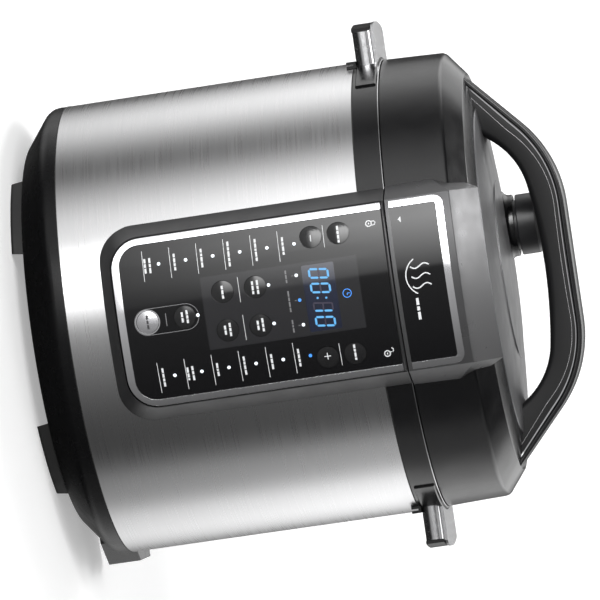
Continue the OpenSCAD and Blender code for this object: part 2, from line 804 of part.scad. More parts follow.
module lid_pan() {
    color(steel) difference() {
        union() {
            rotate_extrude() polygon([
                [pan_r - pan_t, 228.2], [pan_r, 228.2], [pan_r, pan_z + pan_t], [pan_wall_r, pan_z + pan_t],
                [pan_wall_r, pan_roof_z - 3], [pan_wall_r - 5, pan_roof_z + pan_t], [0, pan_roof_z + pan_t],
                [0, pan_roof_z], [pan_wall_r - 6, pan_roof_z], [pan_wall_r - pan_t, pan_roof_z - 4],
                [pan_wall_r - pan_t, pan_z], [pan_r - pan_t, pan_z]]);
            // Locking lugs
            for (i = [0:lug_count - 1]) rotate([0, 0, (i + 0.5) * 360 / lug_count - lug_angle / 2])
                rotate_extrude(angle = lug_angle) polygon([
                    [pan_r - 0.2, 228.2], [lock_r - 1, 228.2], [lock_r - 1, 230.4], [pan_r - 0.2, 230.4]]);
        }
        translate([valve_x, valve_y, pan_roof_z - 1]) cylinder(r = 4, h = 4);
        translate([float_x, float_y, pan_roof_z - 1]) cylinder(r = 2, h = 4);
        pan_screw_places() translate([0, 0, pan_roof_z - 1]) cylinder(r = screw_r, h = 4);
    }
}

module pan_screw_places() {
    for (a = [45, 135, 225, 315]) rotate([0, 0, a]) translate([84, 0, 0]) children();
}

module ring_rack() {
    wire = 1.2;
    color(chrome) {
        rotate_extrude() translate([105.8, 228.3]) circle(r = wire, $fn = 24);
        for (i = [0:5]) rotate([0, 0, 60 * i]) {
            translate([100.4, 0, 228.3]) rotate([0, 90, 0]) cylinder(r = 1, h = 5.4, $fn = 24);
            translate([100.6, 0, 227.3]) cylinder(r = 1, h = 10, $fn = 24);
        }
    }
}

// ---- Lid cover ----

// Outer outline of the lid, from the seam to the dome
function lid_profile() = concat(
    [[lid_r, lid_bottom]],
    arc(lid_r - 6.4, lid_wall_top - 1.3, 5.2, 2, 42, 4),
    arc(lid_edge_r - 0.8, lid_edge_z - 1.2, 1.3, 42, 90, 3),
    [[lid_edge_r - 1.6, lid_edge_z - 1.1], [dome_r + 0.4, lid_edge_z + 3.5]]);

dome_rise = 5.6;
dome_rho = (dome_r * dome_r + dome_rise * dome_rise) / (2 * dome_rise);
// Raised middle of the dome
raised_r = 56;
raised_step = 0.8;

// Outer curve of the dome from its edge to the middle, lifted by a given height
function dome_line(lift, r_edge = dome_r, r_in = 0, n = 10) =
    [for (i = [0:n]) let (r = r_edge + (r_in - r_edge) * i / n)
        [r, dome_top - dome_rho + lift + sqrt(dome_rho * dome_rho - r * r)]];

// Everything below the outer surface of the lid
module lid_envelope() {
    rotate_extrude() polygon(concat([[0, lid_bottom]], lid_profile(), [[dome_r, lid_edge_z + 3.5]],
        dome_line(0)));
    rotate_extrude() polygon(concat([[0, dome_top - 6], [raised_r, dome_top - 6]],
        dome_line(raised_step, raised_r)));
}

module lid_cover() {
    color(black) difference() {
        union() {
            rotate_extrude() polygon(concat(lid_profile(),
                [[dome_r + 0.1, lid_edge_z + 3.5], [dome_r + 0.1, lid_edge_z + 1.2], [95, lid_edge_z + 1.2],
                [95, lid_edge_z - 1.2], [122, lid_edge_z - 4.2], [137.2, lid_edge_z - 16],
                [lid_r - wall, lid_bottom + wall], [121, lid_bottom + wall], [121, lid_bottom]]));
            // Bosses for the screws that carry the lid pan, on a ring under the dome
            ring(78, 95.2, lid_edge_z - 1.2, lid_edge_z + 1.2);
            pan_screw_places() translate([0, 0, pan_roof_z + pan_t])
                cylinder(r = 4.5, h = lid_edge_z - pan_roof_z - pan_t);
        }
        pan_screw_places() translate([0, 0, pan_roof_z]) cylinder(r = screw_r, h = 16);
        handle_screw_places() translate([0, 0, lid_edge_z - 10]) cylinder(r = screw_r, h = 30);
    }
}

module handle_screw_places() {
    for (x = [-109, 109], y = [-9, 9]) translate([x, y, 0]) children();
}

module lid_dome() {
    dome_t = 2.4;
    inner = dome_line(-dome_t, dome_r - 8);
    color(satin) difference() {
        union() {
            rotate_extrude() polygon(concat([[dome_r - 8, lid_edge_z + 1.2], [dome_r, lid_edge_z + 1.2]],
                dome_line(0), [for (i = [len(inner) - 1:-1:0]) inner[i]]));
            rotate_extrude() polygon(concat([[0, dome_top - 2.2], [20, dome_top - 2.2],
                [raised_r, dome_top - 3.4]], dome_line(raised_step, raised_r)));
        }
        translate([valve_x, valve_y, lid_edge_z]) cylinder(r = 6, h = 30);
        translate([float_x, float_y, lid_edge_z]) cylinder(r = 5.4, h = 30);
    }
}

// ---- Lid front ----

// The top of the lid block slopes back and up, and keeps the width of its front
ridge_front = [panel_half_w, -panel_edge_y, block_front_z];
ridge_run = panel_edge_y - sqrt(block_back_r * block_back_r - panel_half_w * panel_half_w);
ridge_rise = block_back_z - block_front_z;
ridge_len = sqrt(ridge_run * ridge_run + ridge_rise * ridge_rise);
// Normal of the side wall that falls away from that slope as the upright walls do from the front
lean_normal = cross([0, ridge_run, ridge_rise],
    [panel_flare * ridge_len, ridge_rise, -ridge_run]);
lean_turn = atan2(-lean_normal[1], -lean_normal[0]);
lean_tilt = acos(-lean_normal[2] / norm(lean_normal));

module lid_front_block() {
    color(dark) difference() {
        intersection() {
            rotate_extrude() polygon([
                [100, lid_bottom], [frame_r, lid_bottom], [frame_r, block_front_z - 0.6],
                [frame_r - 0.6, block_front_z], [block_back_r + 0.5, block_back_z],
                [block_back_r - 0.5, block_back_z - 0.4], [block_back_r - 4, lid_edge_z - 8],
                [100, lid_edge_z - 8]]);
            block_plan(lid_bottom, 300);
        }
        for (side = [0, 1]) mirror([side, 0, 0]) translate(ridge_front)
            rotate([0, lean_tilt, lean_turn]) translate([-100, -100, 0]) cube([200, 200, 60]);
        rotate_extrude() polygon(concat([[0, lid_bottom - 1], [lid_r, lid_bottom - 1]], lid_profile(),
            [[0, lid_edge_z + 3.5]]));
        // Pocket for the border and the face plate, and the hollow behind it
        curved_plate(lid_outline(trim_half_w, lid_plate_z0, lid_trim_top, 6), face_back_r, panel_r + 4);
        curved_plate(lid_outline(44, lid_plate_z0 + 3, lid_trim_top - 7, 3), lid_r + 1, face_back_r + 1);
    }
}

module lid_trim() {
    color(chrome) difference() {
        curved_plate(lid_outline(trim_half_w, lid_plate_z0, lid_trim_top, 6), face_back_r, panel_r);
        front_prism(lid_outline(plate_half_w, lid_plate_z0 - 1, lid_trim_top - trim_w - 0.4, 2.4));
    }
}

module lid_faceplate() {
    color(black) curved_plate(lid_outline(plate_half_w, lid_plate_z0, lid_trim_top - trim_w - 0.4, 2.4),
        face_back_r, face_r);
}

// ---- Lid handle ----

// Points of the outer line of the handle, right half, from the middle to the foot, lowered by t
handle_foot_x = 124.4;
handle_foot_z = lid_edge_z - 1.2;
bend_rise = handle_bend_r * (1 - cos(handle_slope));
leg_run = (handle_top - handle_foot_z - bend_rise) / tan(handle_slope);
bend_x = handle_foot_x - leg_run - handle_bend_r * sin(handle_slope);

function handle_line(t) = concat(
    arc(bend_x, handle_top - handle_bend_r, handle_bend_r - t, 90, 90 - handle_slope, 10),
    [[handle_foot_x + 8 - t / sin(handle_slope), handle_foot_z - 8 * tan(handle_slope)]]);

// Points of the underside, right half, from the foot to the middle
under_r = 334;
under_z = 316.3;
under_x = 50;
under_a = asin(under_x / under_r);
throat_r = 48;
throat_a = 56;
throat_x = under_x - throat_r * sin(under_a);
throat_z = under_z - under_r * (1 - cos(under_a)) - throat_r * cos(under_a);

function handle_under() = concat(
    [[throat_x + throat_r * sin(throat_a) + 12, throat_z + throat_r * cos(throat_a) - 12 * tan(throat_a)]],
    arc(throat_x, throat_z, throat_r, 90 - throat_a, 90 - under_a, 8),
    arc(0, under_z - under_r, under_r, 90 - under_a, 90, 5));

function mirrored(points) = [for (i = [len(points) - 1:-1:0]) [-points[i][0], points[i][1]]];

module handle_bar(points, depth) {
    translate([0, depth / 2, 0]) rotate([90, 0, 0]) linear_extrude(depth) polygon(points);
}

module handle_core() {
    outline = concat(handle_line(handle_cap_t), handle_under(), mirrored(handle_under()),
        mirrored(handle_line(handle_cap_t)));
    color(black) difference() {
        handle_bar(outline, handle_depth);
        lid_envelope();
        cylinder(r = big, h = lid_edge_z - 8);
        handle_screw_places() translate([0, 0, lid_edge_z - 4]) cylinder(r = screw_r, h = 10.5);
    }
}

module handle_cap() {
    outer = handle_line(0);
    inner = handle_line(handle_cap_t);
    inner_back = [for (i = [len(inner) - 1:-1:0]) inner[i]];
    color(satin) difference() {
        handle_bar(concat(mirrored(outer), outer, inner_back, [for (p = inner) [-p[0], p[1]]]),
            handle_depth);
        lid_envelope();
        cylinder(r = big, h = lid_edge_z - 8);
    }
}

// ---- Valves ----

module valve_collar() {
    color(black) difference() {
        translate([valve_x, valve_y, 0]) rotate_extrude() polygon(concat(
            [[8, dome_top - 8], [22.6, dome_top - 8], [22.6, dome_top - 2]],
            arc(24.2, 297, 4.6, 245, 180, 5),
            [[19.6, 298.4], [19.2, 298.8], [16.4, 298.8], [16.4, 295.8], [8, 295.8]]));
        lid_envelope();
    }
}

module steam_pipe() {
    color(steel) translate([valve_x, valve_y, 0]) difference() {
        union() {
            translate([0, 0, 238]) cylinder(r = 4, h = 68);
            translate([0, 0, pan_roof_z - 2]) cylinder(r = 8, h = 2);
            translate([0, 0, pan_roof_z + pan_t]) cylinder(r = 8, h = 4, $fn = 6);
        }
        translate([0, 0, 236]) cylinder(r = 1.8, h = 80);
    }
}

module block_shield() {
    color(steel) translate([valve_x, valve_y, 0]) difference() {
        rotate_extrude() polygon([[0, 234], [14, 234], [17, 237], [17, pan_roof_z], [16, pan_roof_z],
            [16, 237.4], [13.6, 235], [0, 235]]);
        for (i = [0:11]) rotate([0, 0, 30 * i]) translate([10, 0, 233]) cylinder(r = 1.4, h = 3, $fn = 24);
        for (i = [0:5]) rotate([0, 0, 60 * i + 15]) translate([12, 0, 239.6])
            rotate([0, 90, 0]) cylinder(r = 1.6, h = 8, $fn = 24);
    }
}

module steam_knob() {
    color(dark) translate([valve_x, valve_y, 0]) difference() {
        rotate_extrude() polygon([
            [4.05, 296.4], [15.8, 296.4], [15.8, 300.4], [knob_r - 0.5, 300.4], [knob_r, 300.9],
            [knob_r, 311.8], [knob_r - 1.4, 313.4], [4.05, 313.4]]);
        // Chamber for the weight, closed at the top by a finger groove
        translate([0, 0, 306.6]) cylinder(r = 6, h = 5);
        translate([0, 0, 312.2]) cylinder(r = 12, h = 4);
    }
    color(dark) translate([valve_x, valve_y, 311.4]) difference() {
        cylinder(r = 12.5, h = 0.9);
        for (i = [0:5]) rotate([0, 0, 60 * i]) translate([8.4, 0, -1]) cylinder(r = 1.6, h = 3, $fn = 24);
    }
}

module steam_weight() {
    color(chrome) translate([valve_x, valve_y, 306.3]) cylinder(r1 = 3.4, r2 = 5.6, h = 4);
}

module float_pin() {
    color(chrome) translate([float_x, float_y, 0]) {
        translate([0, 0, 238]) cylinder(r = 1.95, h = 52);
        translate([0, 0, pan_roof_z + pan_t + 0.3]) cylinder(r = 3.6, h = 1.6);
        translate([0, 0, 289.5]) cylinder(r = 4.6, h = 3);
    }
}

module float_gasket() {
    color(silicone) translate([float_x, float_y, 0]) difference() {
        translate([0, 0, 236.8]) cylinder(r = 4.4, h = 2.6);
        translate([0, 0, 238]) cylinder(r = 1.95, h = 3);
    }
}

module lid_screws() {
    color(chrome) {
        pan_screw_places() {
            translate([0, 0, pan_roof_z - 1.8]) cylinder(r = 3, h = 1.8);
            translate([0, 0, pan_roof_z - 0.1]) cylinder(r = screw_r, h = 15);
        }
        handle_screw_places() {
            translate([0, 0, lid_edge_z - 4.9]) cylinder(r = 3, h = 1.7);
            translate([0, 0, lid_edge_z - 4.8]) cylinder(r = screw_r, h = 11);
        }
    }
}

base_shell();
bottom_cover();
rubber_feet();
steel_sleeve();
collar_ring();
outer_pot();
inner_pot();
heating_plate();
heater_posts();
sensor_bracket();
sensor_spring();
temperature_sensor();
thermal_fuse();
pressure_switch();
power_board();
power_inlet();
inlet_pins();
base_screws();
control_frame();
control_trim();
control_faceplate();
display_window();
display_digits();
leds_white();
leds_blue();
control_board();
side_handle_cores();
side_handle_caps();
cup_bracket();
condensate_cup();
sealing_ring();
lid_cover();
lid_dome();
lid_front_block();
lid_trim();
lid_faceplate();
lid_pan();
ring_rack();
handle_core();
handle_cap();
valve_collar();
steam_pipe();
block_shield();
lid_screws();
float_pin();
float_gasket();
steam_knob();
steam_weight();
button_cancel();
button_start();
button_minus();
button_plus();
button_manual();
button_delay();
button_level();
button_cook_time();
button_keep_warm();
button_menu();
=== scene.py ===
import json
import math

import bmesh
import bpy
from mathutils import Matrix, Vector


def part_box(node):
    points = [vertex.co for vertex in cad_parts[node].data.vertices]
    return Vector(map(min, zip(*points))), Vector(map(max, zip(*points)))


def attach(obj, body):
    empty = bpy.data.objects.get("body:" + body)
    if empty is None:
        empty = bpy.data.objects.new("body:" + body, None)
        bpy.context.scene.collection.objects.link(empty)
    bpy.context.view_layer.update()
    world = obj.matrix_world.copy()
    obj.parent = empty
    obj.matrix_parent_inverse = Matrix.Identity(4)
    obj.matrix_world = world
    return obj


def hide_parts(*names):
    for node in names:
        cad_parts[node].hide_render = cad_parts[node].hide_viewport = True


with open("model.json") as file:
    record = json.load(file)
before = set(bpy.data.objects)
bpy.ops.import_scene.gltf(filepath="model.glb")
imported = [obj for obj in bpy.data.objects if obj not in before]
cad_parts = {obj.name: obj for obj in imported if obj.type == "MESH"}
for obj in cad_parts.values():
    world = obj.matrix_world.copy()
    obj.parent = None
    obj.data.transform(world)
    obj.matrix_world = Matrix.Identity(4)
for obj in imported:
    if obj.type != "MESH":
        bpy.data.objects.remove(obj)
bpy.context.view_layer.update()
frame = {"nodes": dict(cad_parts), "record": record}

MM = 0.001

# Places that other pieces are worked out from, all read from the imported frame, in metres
BODY_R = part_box("steel_sleeve")[1].x
SLEEVE_Z0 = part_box("steel_sleeve")[0].z
SLEEVE_Z1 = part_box("steel_sleeve")[1].z
BODY_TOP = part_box("collar_ring")[1].z
PANEL_R = -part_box("control_trim")[0].y
FACE_R = -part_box("control_faceplate")[0].y
GLASS_R = -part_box("display_window")[0].y
HANDLE_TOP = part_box("handle_cap")[1].z
HANDLE_HALF_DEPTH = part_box("handle_cap")[1].y

SHARP_ANGLE = math.radians(32)       # edges sharper than this stay edges, or are rounded on CAD nodes
STRAIGHT_HALF = math.radians(89)     # half a corner that is too straight to take a fillet
RING_STEPS = 240                     # facets round a turned ring
PRINT_LIFT = 0.06 * MM               # how far a print stands proud of its face
PRINT_SINK = 0.05 * MM               # how far its back goes into the face


# ---- Meshes ----

def mesh_object(name, verts, faces, mat, body):
    """A closed mesh piece that rides on a body."""
    mesh = bpy.data.meshes.new(name)
    mesh.from_pydata([tuple(v) for v in verts], [], faces)
    bm = bmesh.new()
    bm.from_mesh(mesh)
    bmesh.ops.recalc_face_normals(bm, faces=bm.faces)
    bm.to_mesh(mesh)
    bm.free()
    mesh.shade_smooth()
    mesh.set_sharp_from_angle(angle=SHARP_ANGLE)
    mesh.materials.append(mat)
    obj = bpy.data.objects.new(name, mesh)
    bpy.context.scene.collection.objects.link(obj)
    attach(obj, body)
    return obj


def loft(rings, closed=False):
    """Vertices and faces of a tube through rings of equal length, joined end to end or with capped ends."""
    n = len(rings[0])
    count = len(rings)
    verts = [p for ring in rings for p in ring]
    faces = []
    for k in range(count if closed else count - 1):
        a, b = k * n, (k + 1) % count * n
        for i in range(n):
            j = (i + 1) % n
            faces.append((a + i, a + j, b + j, b + i))
    if not closed:
        faces.append(tuple(range(n)))
        faces.append(tuple(range((count - 1) * n, count * n)))
    return verts, faces


def lathe(profile):
    """Turns a closed profile of (radius, z) points about the part's upright axis."""
    rings = []
    for k in range(RING_STEPS):
        a = 2 * math.pi * k / RING_STEPS
        rings.append([(r * math.cos(a), r * math.sin(a), z) for r, z in profile])
    return loft(rings, closed=True)


def rounded(points, steps=4):
    """Closed outline through (x, y, fillet radius) points, with an arc of some steps at each corner."""
    out = []
    n = len(points)
    for i, point in enumerate(points):
        p = Vector(point[:2])
        r = point[2]
        before = (Vector(points[i - 1][:2]) - p).normalized()
        after = (Vector(points[(i + 1) % n][:2]) - p).normalized()
        half = before.angle(after) / 2
        if r <= 0 or half > STRAIGHT_HALF:
            out.append(tuple(p))
            continue
        run = r / math.tan(half)
        centre = p + (before + after).normalized() * (r / math.sin(half))
        start, end = p + before * run - centre, p + after * run - centre
        sweep = start.angle_signed(end)
        for k in range(steps + 1):
            a = -sweep * k / steps
            c, s = math.cos(a), math.sin(a)
            out.append((centre.x + start.x * c - start.y * s, centre.y + start.x * s + start.y * c))
    return out


def on_front(x, z, r):
    """The point at x, z in front view on the upright cylinder of radius r, towards the front."""
    return (x, -math.sqrt(r * r - x * x), z)


def strokes_mesh(strokes, r, lift):
    """Thin raised lines on a front cylinder. Each stroke is (points, width, closed)."""
    verts, faces = [], []
    for points, width, closed in strokes:
        pts = [Vector(p) for p in points]
        n = len(pts)
        rings = []
        for i, p in enumerate(pts):
            a = pts[i - 1] if (i > 0 or closed) else p
            b = pts[(i + 1) % n] if (i < n - 1 or closed) else p
            along = (b - a).normalized()
            side = Vector((-along.y, along.x)) * width / 2
            left, right = p + side, p - side
            corners = ((left, -PRINT_SINK), (left, lift), (right, lift), (right, -PRINT_SINK))
            rings.append([on_front(q.x, q.y, r + out) for q, out in corners])
        v, f = loft(rings, closed)
        faces += [tuple(i + len(verts) for i in face) for face in f]
        verts += v
    return verts, faces


def line(x0, z0, x1, z1, width, steps=8):
    """A straight stroke, divided so that it can bend round the panel."""
    points = [(x0 + (x1 - x0) * k / steps, z0 + (z1 - z0) * k / steps) for k in range(steps + 1)]
    return (points, width, False)


def arc_points(x, z, r, angles):
    """Points of a circle in front view, at angles in degrees."""
    return [(x + r * math.cos(math.radians(a)), z + r * math.sin(math.radians(a))) for a in angles]


def circle_stroke(x, z, r, width, a0=0, a1=360, steps=32):
    """A stroke along a circle, or along its arc from a0 to a1 degrees."""
    closed = a1 - a0 >= 360
    n = steps if closed else steps + 1
    return (arc_points(x, z, r, [a0 + (a1 - a0) * k / steps for k in range(n)]), width, closed)


def dashes(x, z, lengths, height=1.25 * MM, gap=0.5 * MM):
    """A row of short bars of some lengths in millimetres, centred on x, in place of a printed word."""
    total = sum(lengths) * MM + gap * (len(lengths) - 1)
    left = x - total / 2
    out = []
    for length in lengths:
        out.append(line(left, z, left + length * MM, z, height, 3))
        left += length * MM + gap
    return out


def print_piece(name, strokes, mat, body, r=FACE_R, lift=PRINT_LIFT):
    """Strokes as one thin piece on the front cylinder of radius r."""
    verts, faces = strokes_mesh(strokes, r, lift)
    return mesh_object(name, verts, faces, mat, body)


def box_centre(node):
    """The middle of a CAD node in front view, as x and z."""
    lo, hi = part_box(node)
    return (lo.x + hi.x) / 2, (lo.z + hi.z) / 2


# ---- Materials ----

# Sizes of noise, in features per metre
DRIFT_SCALE = 18        # slow colour drift of a plastic
GLOSS_SCALE = 70        # uneven gloss of a plastic
SCRATCH_SCALE = 60      # scratches of a metal, before they are stretched
LAMP_SCALE = 300        # unevenness of a lit lamp

GLOSS_SPREAD = 0.05     # how far a plastic's roughness drifts either way
BRUSH_SPREAD = 0.15     # how far a metal's roughness drifts either way, as a share of itself
GRAIN_STRENGTH, SCRATCH_STRENGTH, RIPPLE_STRENGTH = 0.5, 0.4, 0.3      # of the fine relief
BRUSH_ROTATION = 0.25   # the highlight runs across the brushing, as a share of a turn
SMOKE_EDGE = 0.5 * MM   # soft edge of the smoked window in the face plate


def new_material(name):
    """A material with its node tree and its Principled shader."""
    mat = bpy.data.materials.new(name)
    mat.use_nodes = True
    nt = mat.node_tree
    return mat, nt, nt.nodes["Principled BSDF"]


def add(nt, kind, **values):
    """A new node of some kind, with its settings."""
    node = nt.nodes.new(kind)
    for key, value in values.items():
        setattr(node, key, value)
    return node


def noise(nt, scale, detail=3.0, stretch=(1, 1, 1)):
    """Noise in the object's own coordinates, in features per metre."""
    place = add(nt, "ShaderNodeTexCoord")
    mapping = add(nt, "ShaderNodeMapping")
    mapping.inputs["Scale"].default_value = stretch
    nt.links.new(place.outputs["Object"], mapping.inputs["Vector"])
    tex = add(nt, "ShaderNodeTexNoise")
    tex.inputs["Scale"].default_value = scale
    tex.inputs["Detail"].default_value = detail
    nt.links.new(mapping.outputs["Vector"], tex.inputs["Vector"])
    return tex.outputs["Fac"]


def between(nt, factor, low, high, f0=0.3, f1=0.7):
    """Maps a factor that runs from f0 to f1 onto the range from low to high."""
    node = add(nt, "ShaderNodeMapRange")
    node.inputs["From Min"].default_value = f0
    node.inputs["From Max"].default_value = f1
    node.inputs["To Min"].default_value = low
    node.inputs["To Max"].default_value = high
    nt.links.new(factor, node.inputs["Value"])
    return node.outputs["Result"]


def tones(nt, factor, dark, light):
    """Mixes two colours by a factor."""
    mix = add(nt, "ShaderNodeMix", data_type="RGBA")
    mix.inputs[6].default_value = (*dark, 1)
    mix.inputs[7].default_value = (*light, 1)
    nt.links.new(factor, mix.inputs[0])
    return mix.outputs[2]


def bump(nt, bsdf, height, distance, strength):
    """Gives a shader fine relief from a height."""
    node = add(nt, "ShaderNodeBump")
    node.inputs["Strength"].default_value = strength
    node.inputs["Distance"].default_value = distance
    nt.links.new(height, node.inputs["Height"])
    nt.links.new(node.outputs["Normal"], bsdf.inputs["Normal"])


def scaled(color, k):
    """A colour made k times as bright, up to white."""
    return tuple(min(1, c * k) for c in color)


def plastic(name, color, rough, spread=0.12, grain=900, depth=0.01 * MM, coat=0.0, coat_rough=0.1,
            specular=0.5, metallic=0.0, cloud=DRIFT_SCALE):
    """Moulded or painted plastic: slow colour drift, uneven gloss and a fine moulded grain."""
    mat, nt, bsdf = new_material(name)
    drift = noise(nt, cloud)
    nt.links.new(tones(nt, drift, scaled(color, 1 - spread), scaled(color, 1 + spread)),
                 bsdf.inputs["Base Color"])
    gloss = noise(nt, GLOSS_SCALE, 4)
    nt.links.new(between(nt, gloss, rough - GLOSS_SPREAD, rough + GLOSS_SPREAD), bsdf.inputs["Roughness"])
    bump(nt, bsdf, noise(nt, grain, 2), depth, GRAIN_STRENGTH)
    bsdf.inputs["Metallic"].default_value = metallic
    bsdf.inputs["Specular IOR Level"].default_value = specular
    bsdf.inputs["Coat Weight"].default_value = coat
    bsdf.inputs["Coat Roughness"].default_value = coat_rough
    return mat


def brushed(name, color, rough, stretch, depth=0.006 * MM, anisotropic=0.0, spread=0.05):
    """Brushed or turned metal: long fine scratches in colour, gloss and relief."""
    mat, nt, bsdf = new_material(name)
    scratch = noise(nt, SCRATCH_SCALE, 4, stretch)
    wide = noise(nt, SCRATCH_SCALE / 5, 2, stretch)
    nt.links.new(tones(nt, scratch, scaled(color, 1 - spread), scaled(color, 1 + spread)),
                 bsdf.inputs["Base Color"])
    nt.links.new(between(nt, wide, rough * (1 - BRUSH_SPREAD), rough * (1 + BRUSH_SPREAD)),
                 bsdf.inputs["Roughness"])
    bump(nt, bsdf, scratch, depth, SCRATCH_STRENGTH)
    bsdf.inputs["Metallic"].default_value = 1.0
    bsdf.inputs["Anisotropic"].default_value = anisotropic
    bsdf.inputs["Anisotropic Rotation"].default_value = BRUSH_ROTATION
    if anisotropic > 0:
        tangent = add(nt, "ShaderNodeTangent", direction_type="RADIAL", axis="Z")
        nt.links.new(tangent.outputs["Tangent"], bsdf.inputs["Tangent"])
    return mat


def paint_light_by_height(mat, z0, z1, low, high):
    """Paints light and shade into a metal's colour, from low times as bright at height z0 to high times at
    z1.
    """
    nt = mat.node_tree
    bsdf = nt.nodes["Principled BSDF"]
    source = bsdf.inputs["Base Color"].links[0].from_socket
    place = add(nt, "ShaderNodeTexCoord")
    split = add(nt, "ShaderNodeSeparateXYZ")
    nt.links.new(place.outputs["Object"], split.inputs["Vector"])
    scale = add(nt, "ShaderNodeVectorMath", operation="SCALE")
    nt.links.new(source, scale.inputs[0])
    nt.links.new(between(nt, split.outputs["Z"], low, high, z0, z1), scale.inputs["Scale"])
    nt.links.new(scale.outputs[0], bsdf.inputs["Base Color"])


def glowing(name, color, strength, base=(0.02, 0.03, 0.06)):
    """A lit segment or lamp, brighter in its middle parts."""
    mat, nt, bsdf = new_material(name)
    nt.links.new(tones(nt, noise(nt, LAMP_SCALE), scaled(color, 0.8), color), bsdf.inputs["Emission Color"])
    bsdf.inputs["Base Color"].default_value = (*base, 1)
    bsdf.inputs["Emission Strength"].default_value = strength
    bsdf.inputs["Roughness"].default_value = 0.3
    return mat


def panel_gloss():
    """Gloss black face plate, with a lighter smoked window round the display."""
    mat, nt, bsdf = new_material("panel_gloss")
    display_lo, display_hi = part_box("display_window")
    side, below, above = 1.8 * MM, 61.6 * MM, 14.2 * MM
    half_w = display_hi.x + side
    z0, z1 = display_lo.z - below, display_hi.z + above
    place = add(nt, "ShaderNodeTexCoord")
    split = add(nt, "ShaderNodeSeparateXYZ")
    nt.links.new(place.outputs["Object"], split.inputs["Vector"])

    def edge(source, middle, half):
        """1 within half of the middle, 0 outside it."""
        off = add(nt, "ShaderNodeMath", operation="SUBTRACT")
        off.inputs[1].default_value = middle
        nt.links.new(source, off.inputs[0])
        size = add(nt, "ShaderNodeMath", operation="ABSOLUTE")
        nt.links.new(off.outputs[0], size.inputs[0])
        return between(nt, size.outputs[0], 1, 0, half - SMOKE_EDGE, half + SMOKE_EDGE)

    inside = add(nt, "ShaderNodeMath", operation="MULTIPLY")
    nt.links.new(edge(split.outputs["X"], 0, half_w), inside.inputs[0])
    nt.links.new(edge(split.outputs["Z"], (z0 + z1) / 2, (z1 - z0) / 2), inside.inputs[1])
    black, smoke = (0.0035, 0.0035, 0.004), (0.017, 0.017, 0.0185)
    nt.links.new(tones(nt, inside.outputs[0], black, smoke),
                 bsdf.inputs["Base Color"])
    nt.links.new(between(nt, noise(nt, 40, 3), 0.04, 0.08), bsdf.inputs["Roughness"])
    bsdf.inputs["Specular IOR Level"].default_value = 0.36
    bump(nt, bsdf, noise(nt, 22, 2), 0.004 * MM, RIPPLE_STRENGTH)
    return mat


def clear_plastic():
    """The see-through plastic of the condensate cup."""
    mat, nt, bsdf = new_material("clear_plastic")
    nt.links.new(tones(nt, noise(nt, 30), (0.86, 0.89, 0.92), (0.93, 0.95, 0.97)),
                 bsdf.inputs["Base Color"])
    nt.links.new(between(nt, noise(nt, 60), 0.04, 0.12), bsdf.inputs["Roughness"])
    bsdf.inputs["Transmission Weight"].default_value = 0.9
    bsdf.inputs["IOR"].default_value = 1.49
    return mat


def silicone_rubber():
    """Pale silicone, which lets a little light in."""
    mat = plastic("silicone", (0.66, 0.65, 0.62), 0.45, spread=0.04)
    bsdf = mat.node_tree.nodes["Principled BSDF"]
    bsdf.inputs["Subsurface Weight"].default_value = 0.25
    bsdf.inputs["Subsurface Scale"].default_value = 2 * MM
    return mat


# One material for each slot of the record
MATERIALS = {
    "body_black": plastic("body_black", (0.005, 0.005, 0.0055), 0.2, grain=700, depth=0.004 * MM,
                          coat=0.2, coat_rough=0.1),
    "matte_black": plastic("matte_black", (0.006, 0.006, 0.0065), 0.45, grain=1600, depth=0.02 * MM,
                           specular=0.35),
    "frame_satin": plastic("frame_satin", (0.03, 0.03, 0.031), 0.34, metallic=0.3, grain=1500),
    "dome_satin": plastic("dome_satin", (0.19, 0.19, 0.195), 0.34, metallic=0.6, grain=1500),
    "knob_grey": plastic("knob_grey", (0.035, 0.035, 0.037), 0.36, grain=1400, depth=0.02 * MM),
    "panel_gloss": panel_gloss(),
    "display_glass": plastic("display_glass", (0.004, 0.007, 0.022), 0.1, coat=0.6, coat_rough=0.04),
    "bright_trim": brushed("bright_trim", (0.86, 0.86, 0.88), 0.1, (1, 1, 8), depth=0.001 * MM),
    "handle_silver": brushed("handle_silver", (0.62, 0.62, 0.63), 0.24, (30, 2, 30), depth=0.003 * MM),
    "sleeve_steel": brushed("sleeve_steel", (0.66, 0.66, 0.665), 0.3, (1.2, 1.2, 90), depth=0.003 * MM,
                            anisotropic=0.6, spread=0.03),
    "pot_steel": brushed("pot_steel", (0.68, 0.68, 0.685), 0.22, (2, 2, 60), anisotropic=0.4),
    "screw_steel": brushed("screw_steel", (0.6, 0.6, 0.61), 0.2, (8, 8, 8)),
    "liner_aluminium": brushed("liner_aluminium", (0.62, 0.62, 0.63), 0.38, (2, 2, 40)),
    "cast_aluminium": brushed("cast_aluminium", (0.55, 0.55, 0.56), 0.42, (20, 20, 20), depth=0.02 * MM),
    "circuit_board": plastic("circuit_board", (0.012, 0.085, 0.035), 0.35, spread=0.3, cloud=90),
    "ceramic": plastic("ceramic", (0.7, 0.67, 0.6), 0.3, spread=0.05),
    "silicone": silicone_rubber(),
    "foot_rubber": plastic("foot_rubber", (0.012, 0.012, 0.012), 0.7, grain=2200, depth=0.05 * MM),
    "clear_plastic": clear_plastic(),
    "button_black": plastic("button_black", (0.009, 0.009, 0.0095), 0.14, depth=0.002 * MM),
    "button_silver": brushed("button_silver", (0.7, 0.7, 0.72), 0.22, (40, 2, 2), depth=0.003 * MM),
    "lamp_white": glowing("lamp_white", (0.85, 0.92, 1.0), 0.75, (0.8, 0.85, 0.9)),
    "lamp_blue": glowing("lamp_blue", (0.05, 0.3, 0.95), 1.5),
}
# Painted shade and highlight: the steel's colour is made a little darker at its foot and brighter at its
# top, where the studio light's reflection falls
paint_light_by_height(MATERIALS["sleeve_steel"], SLEEVE_Z0, SLEEVE_Z1, 0.86, 1.27)

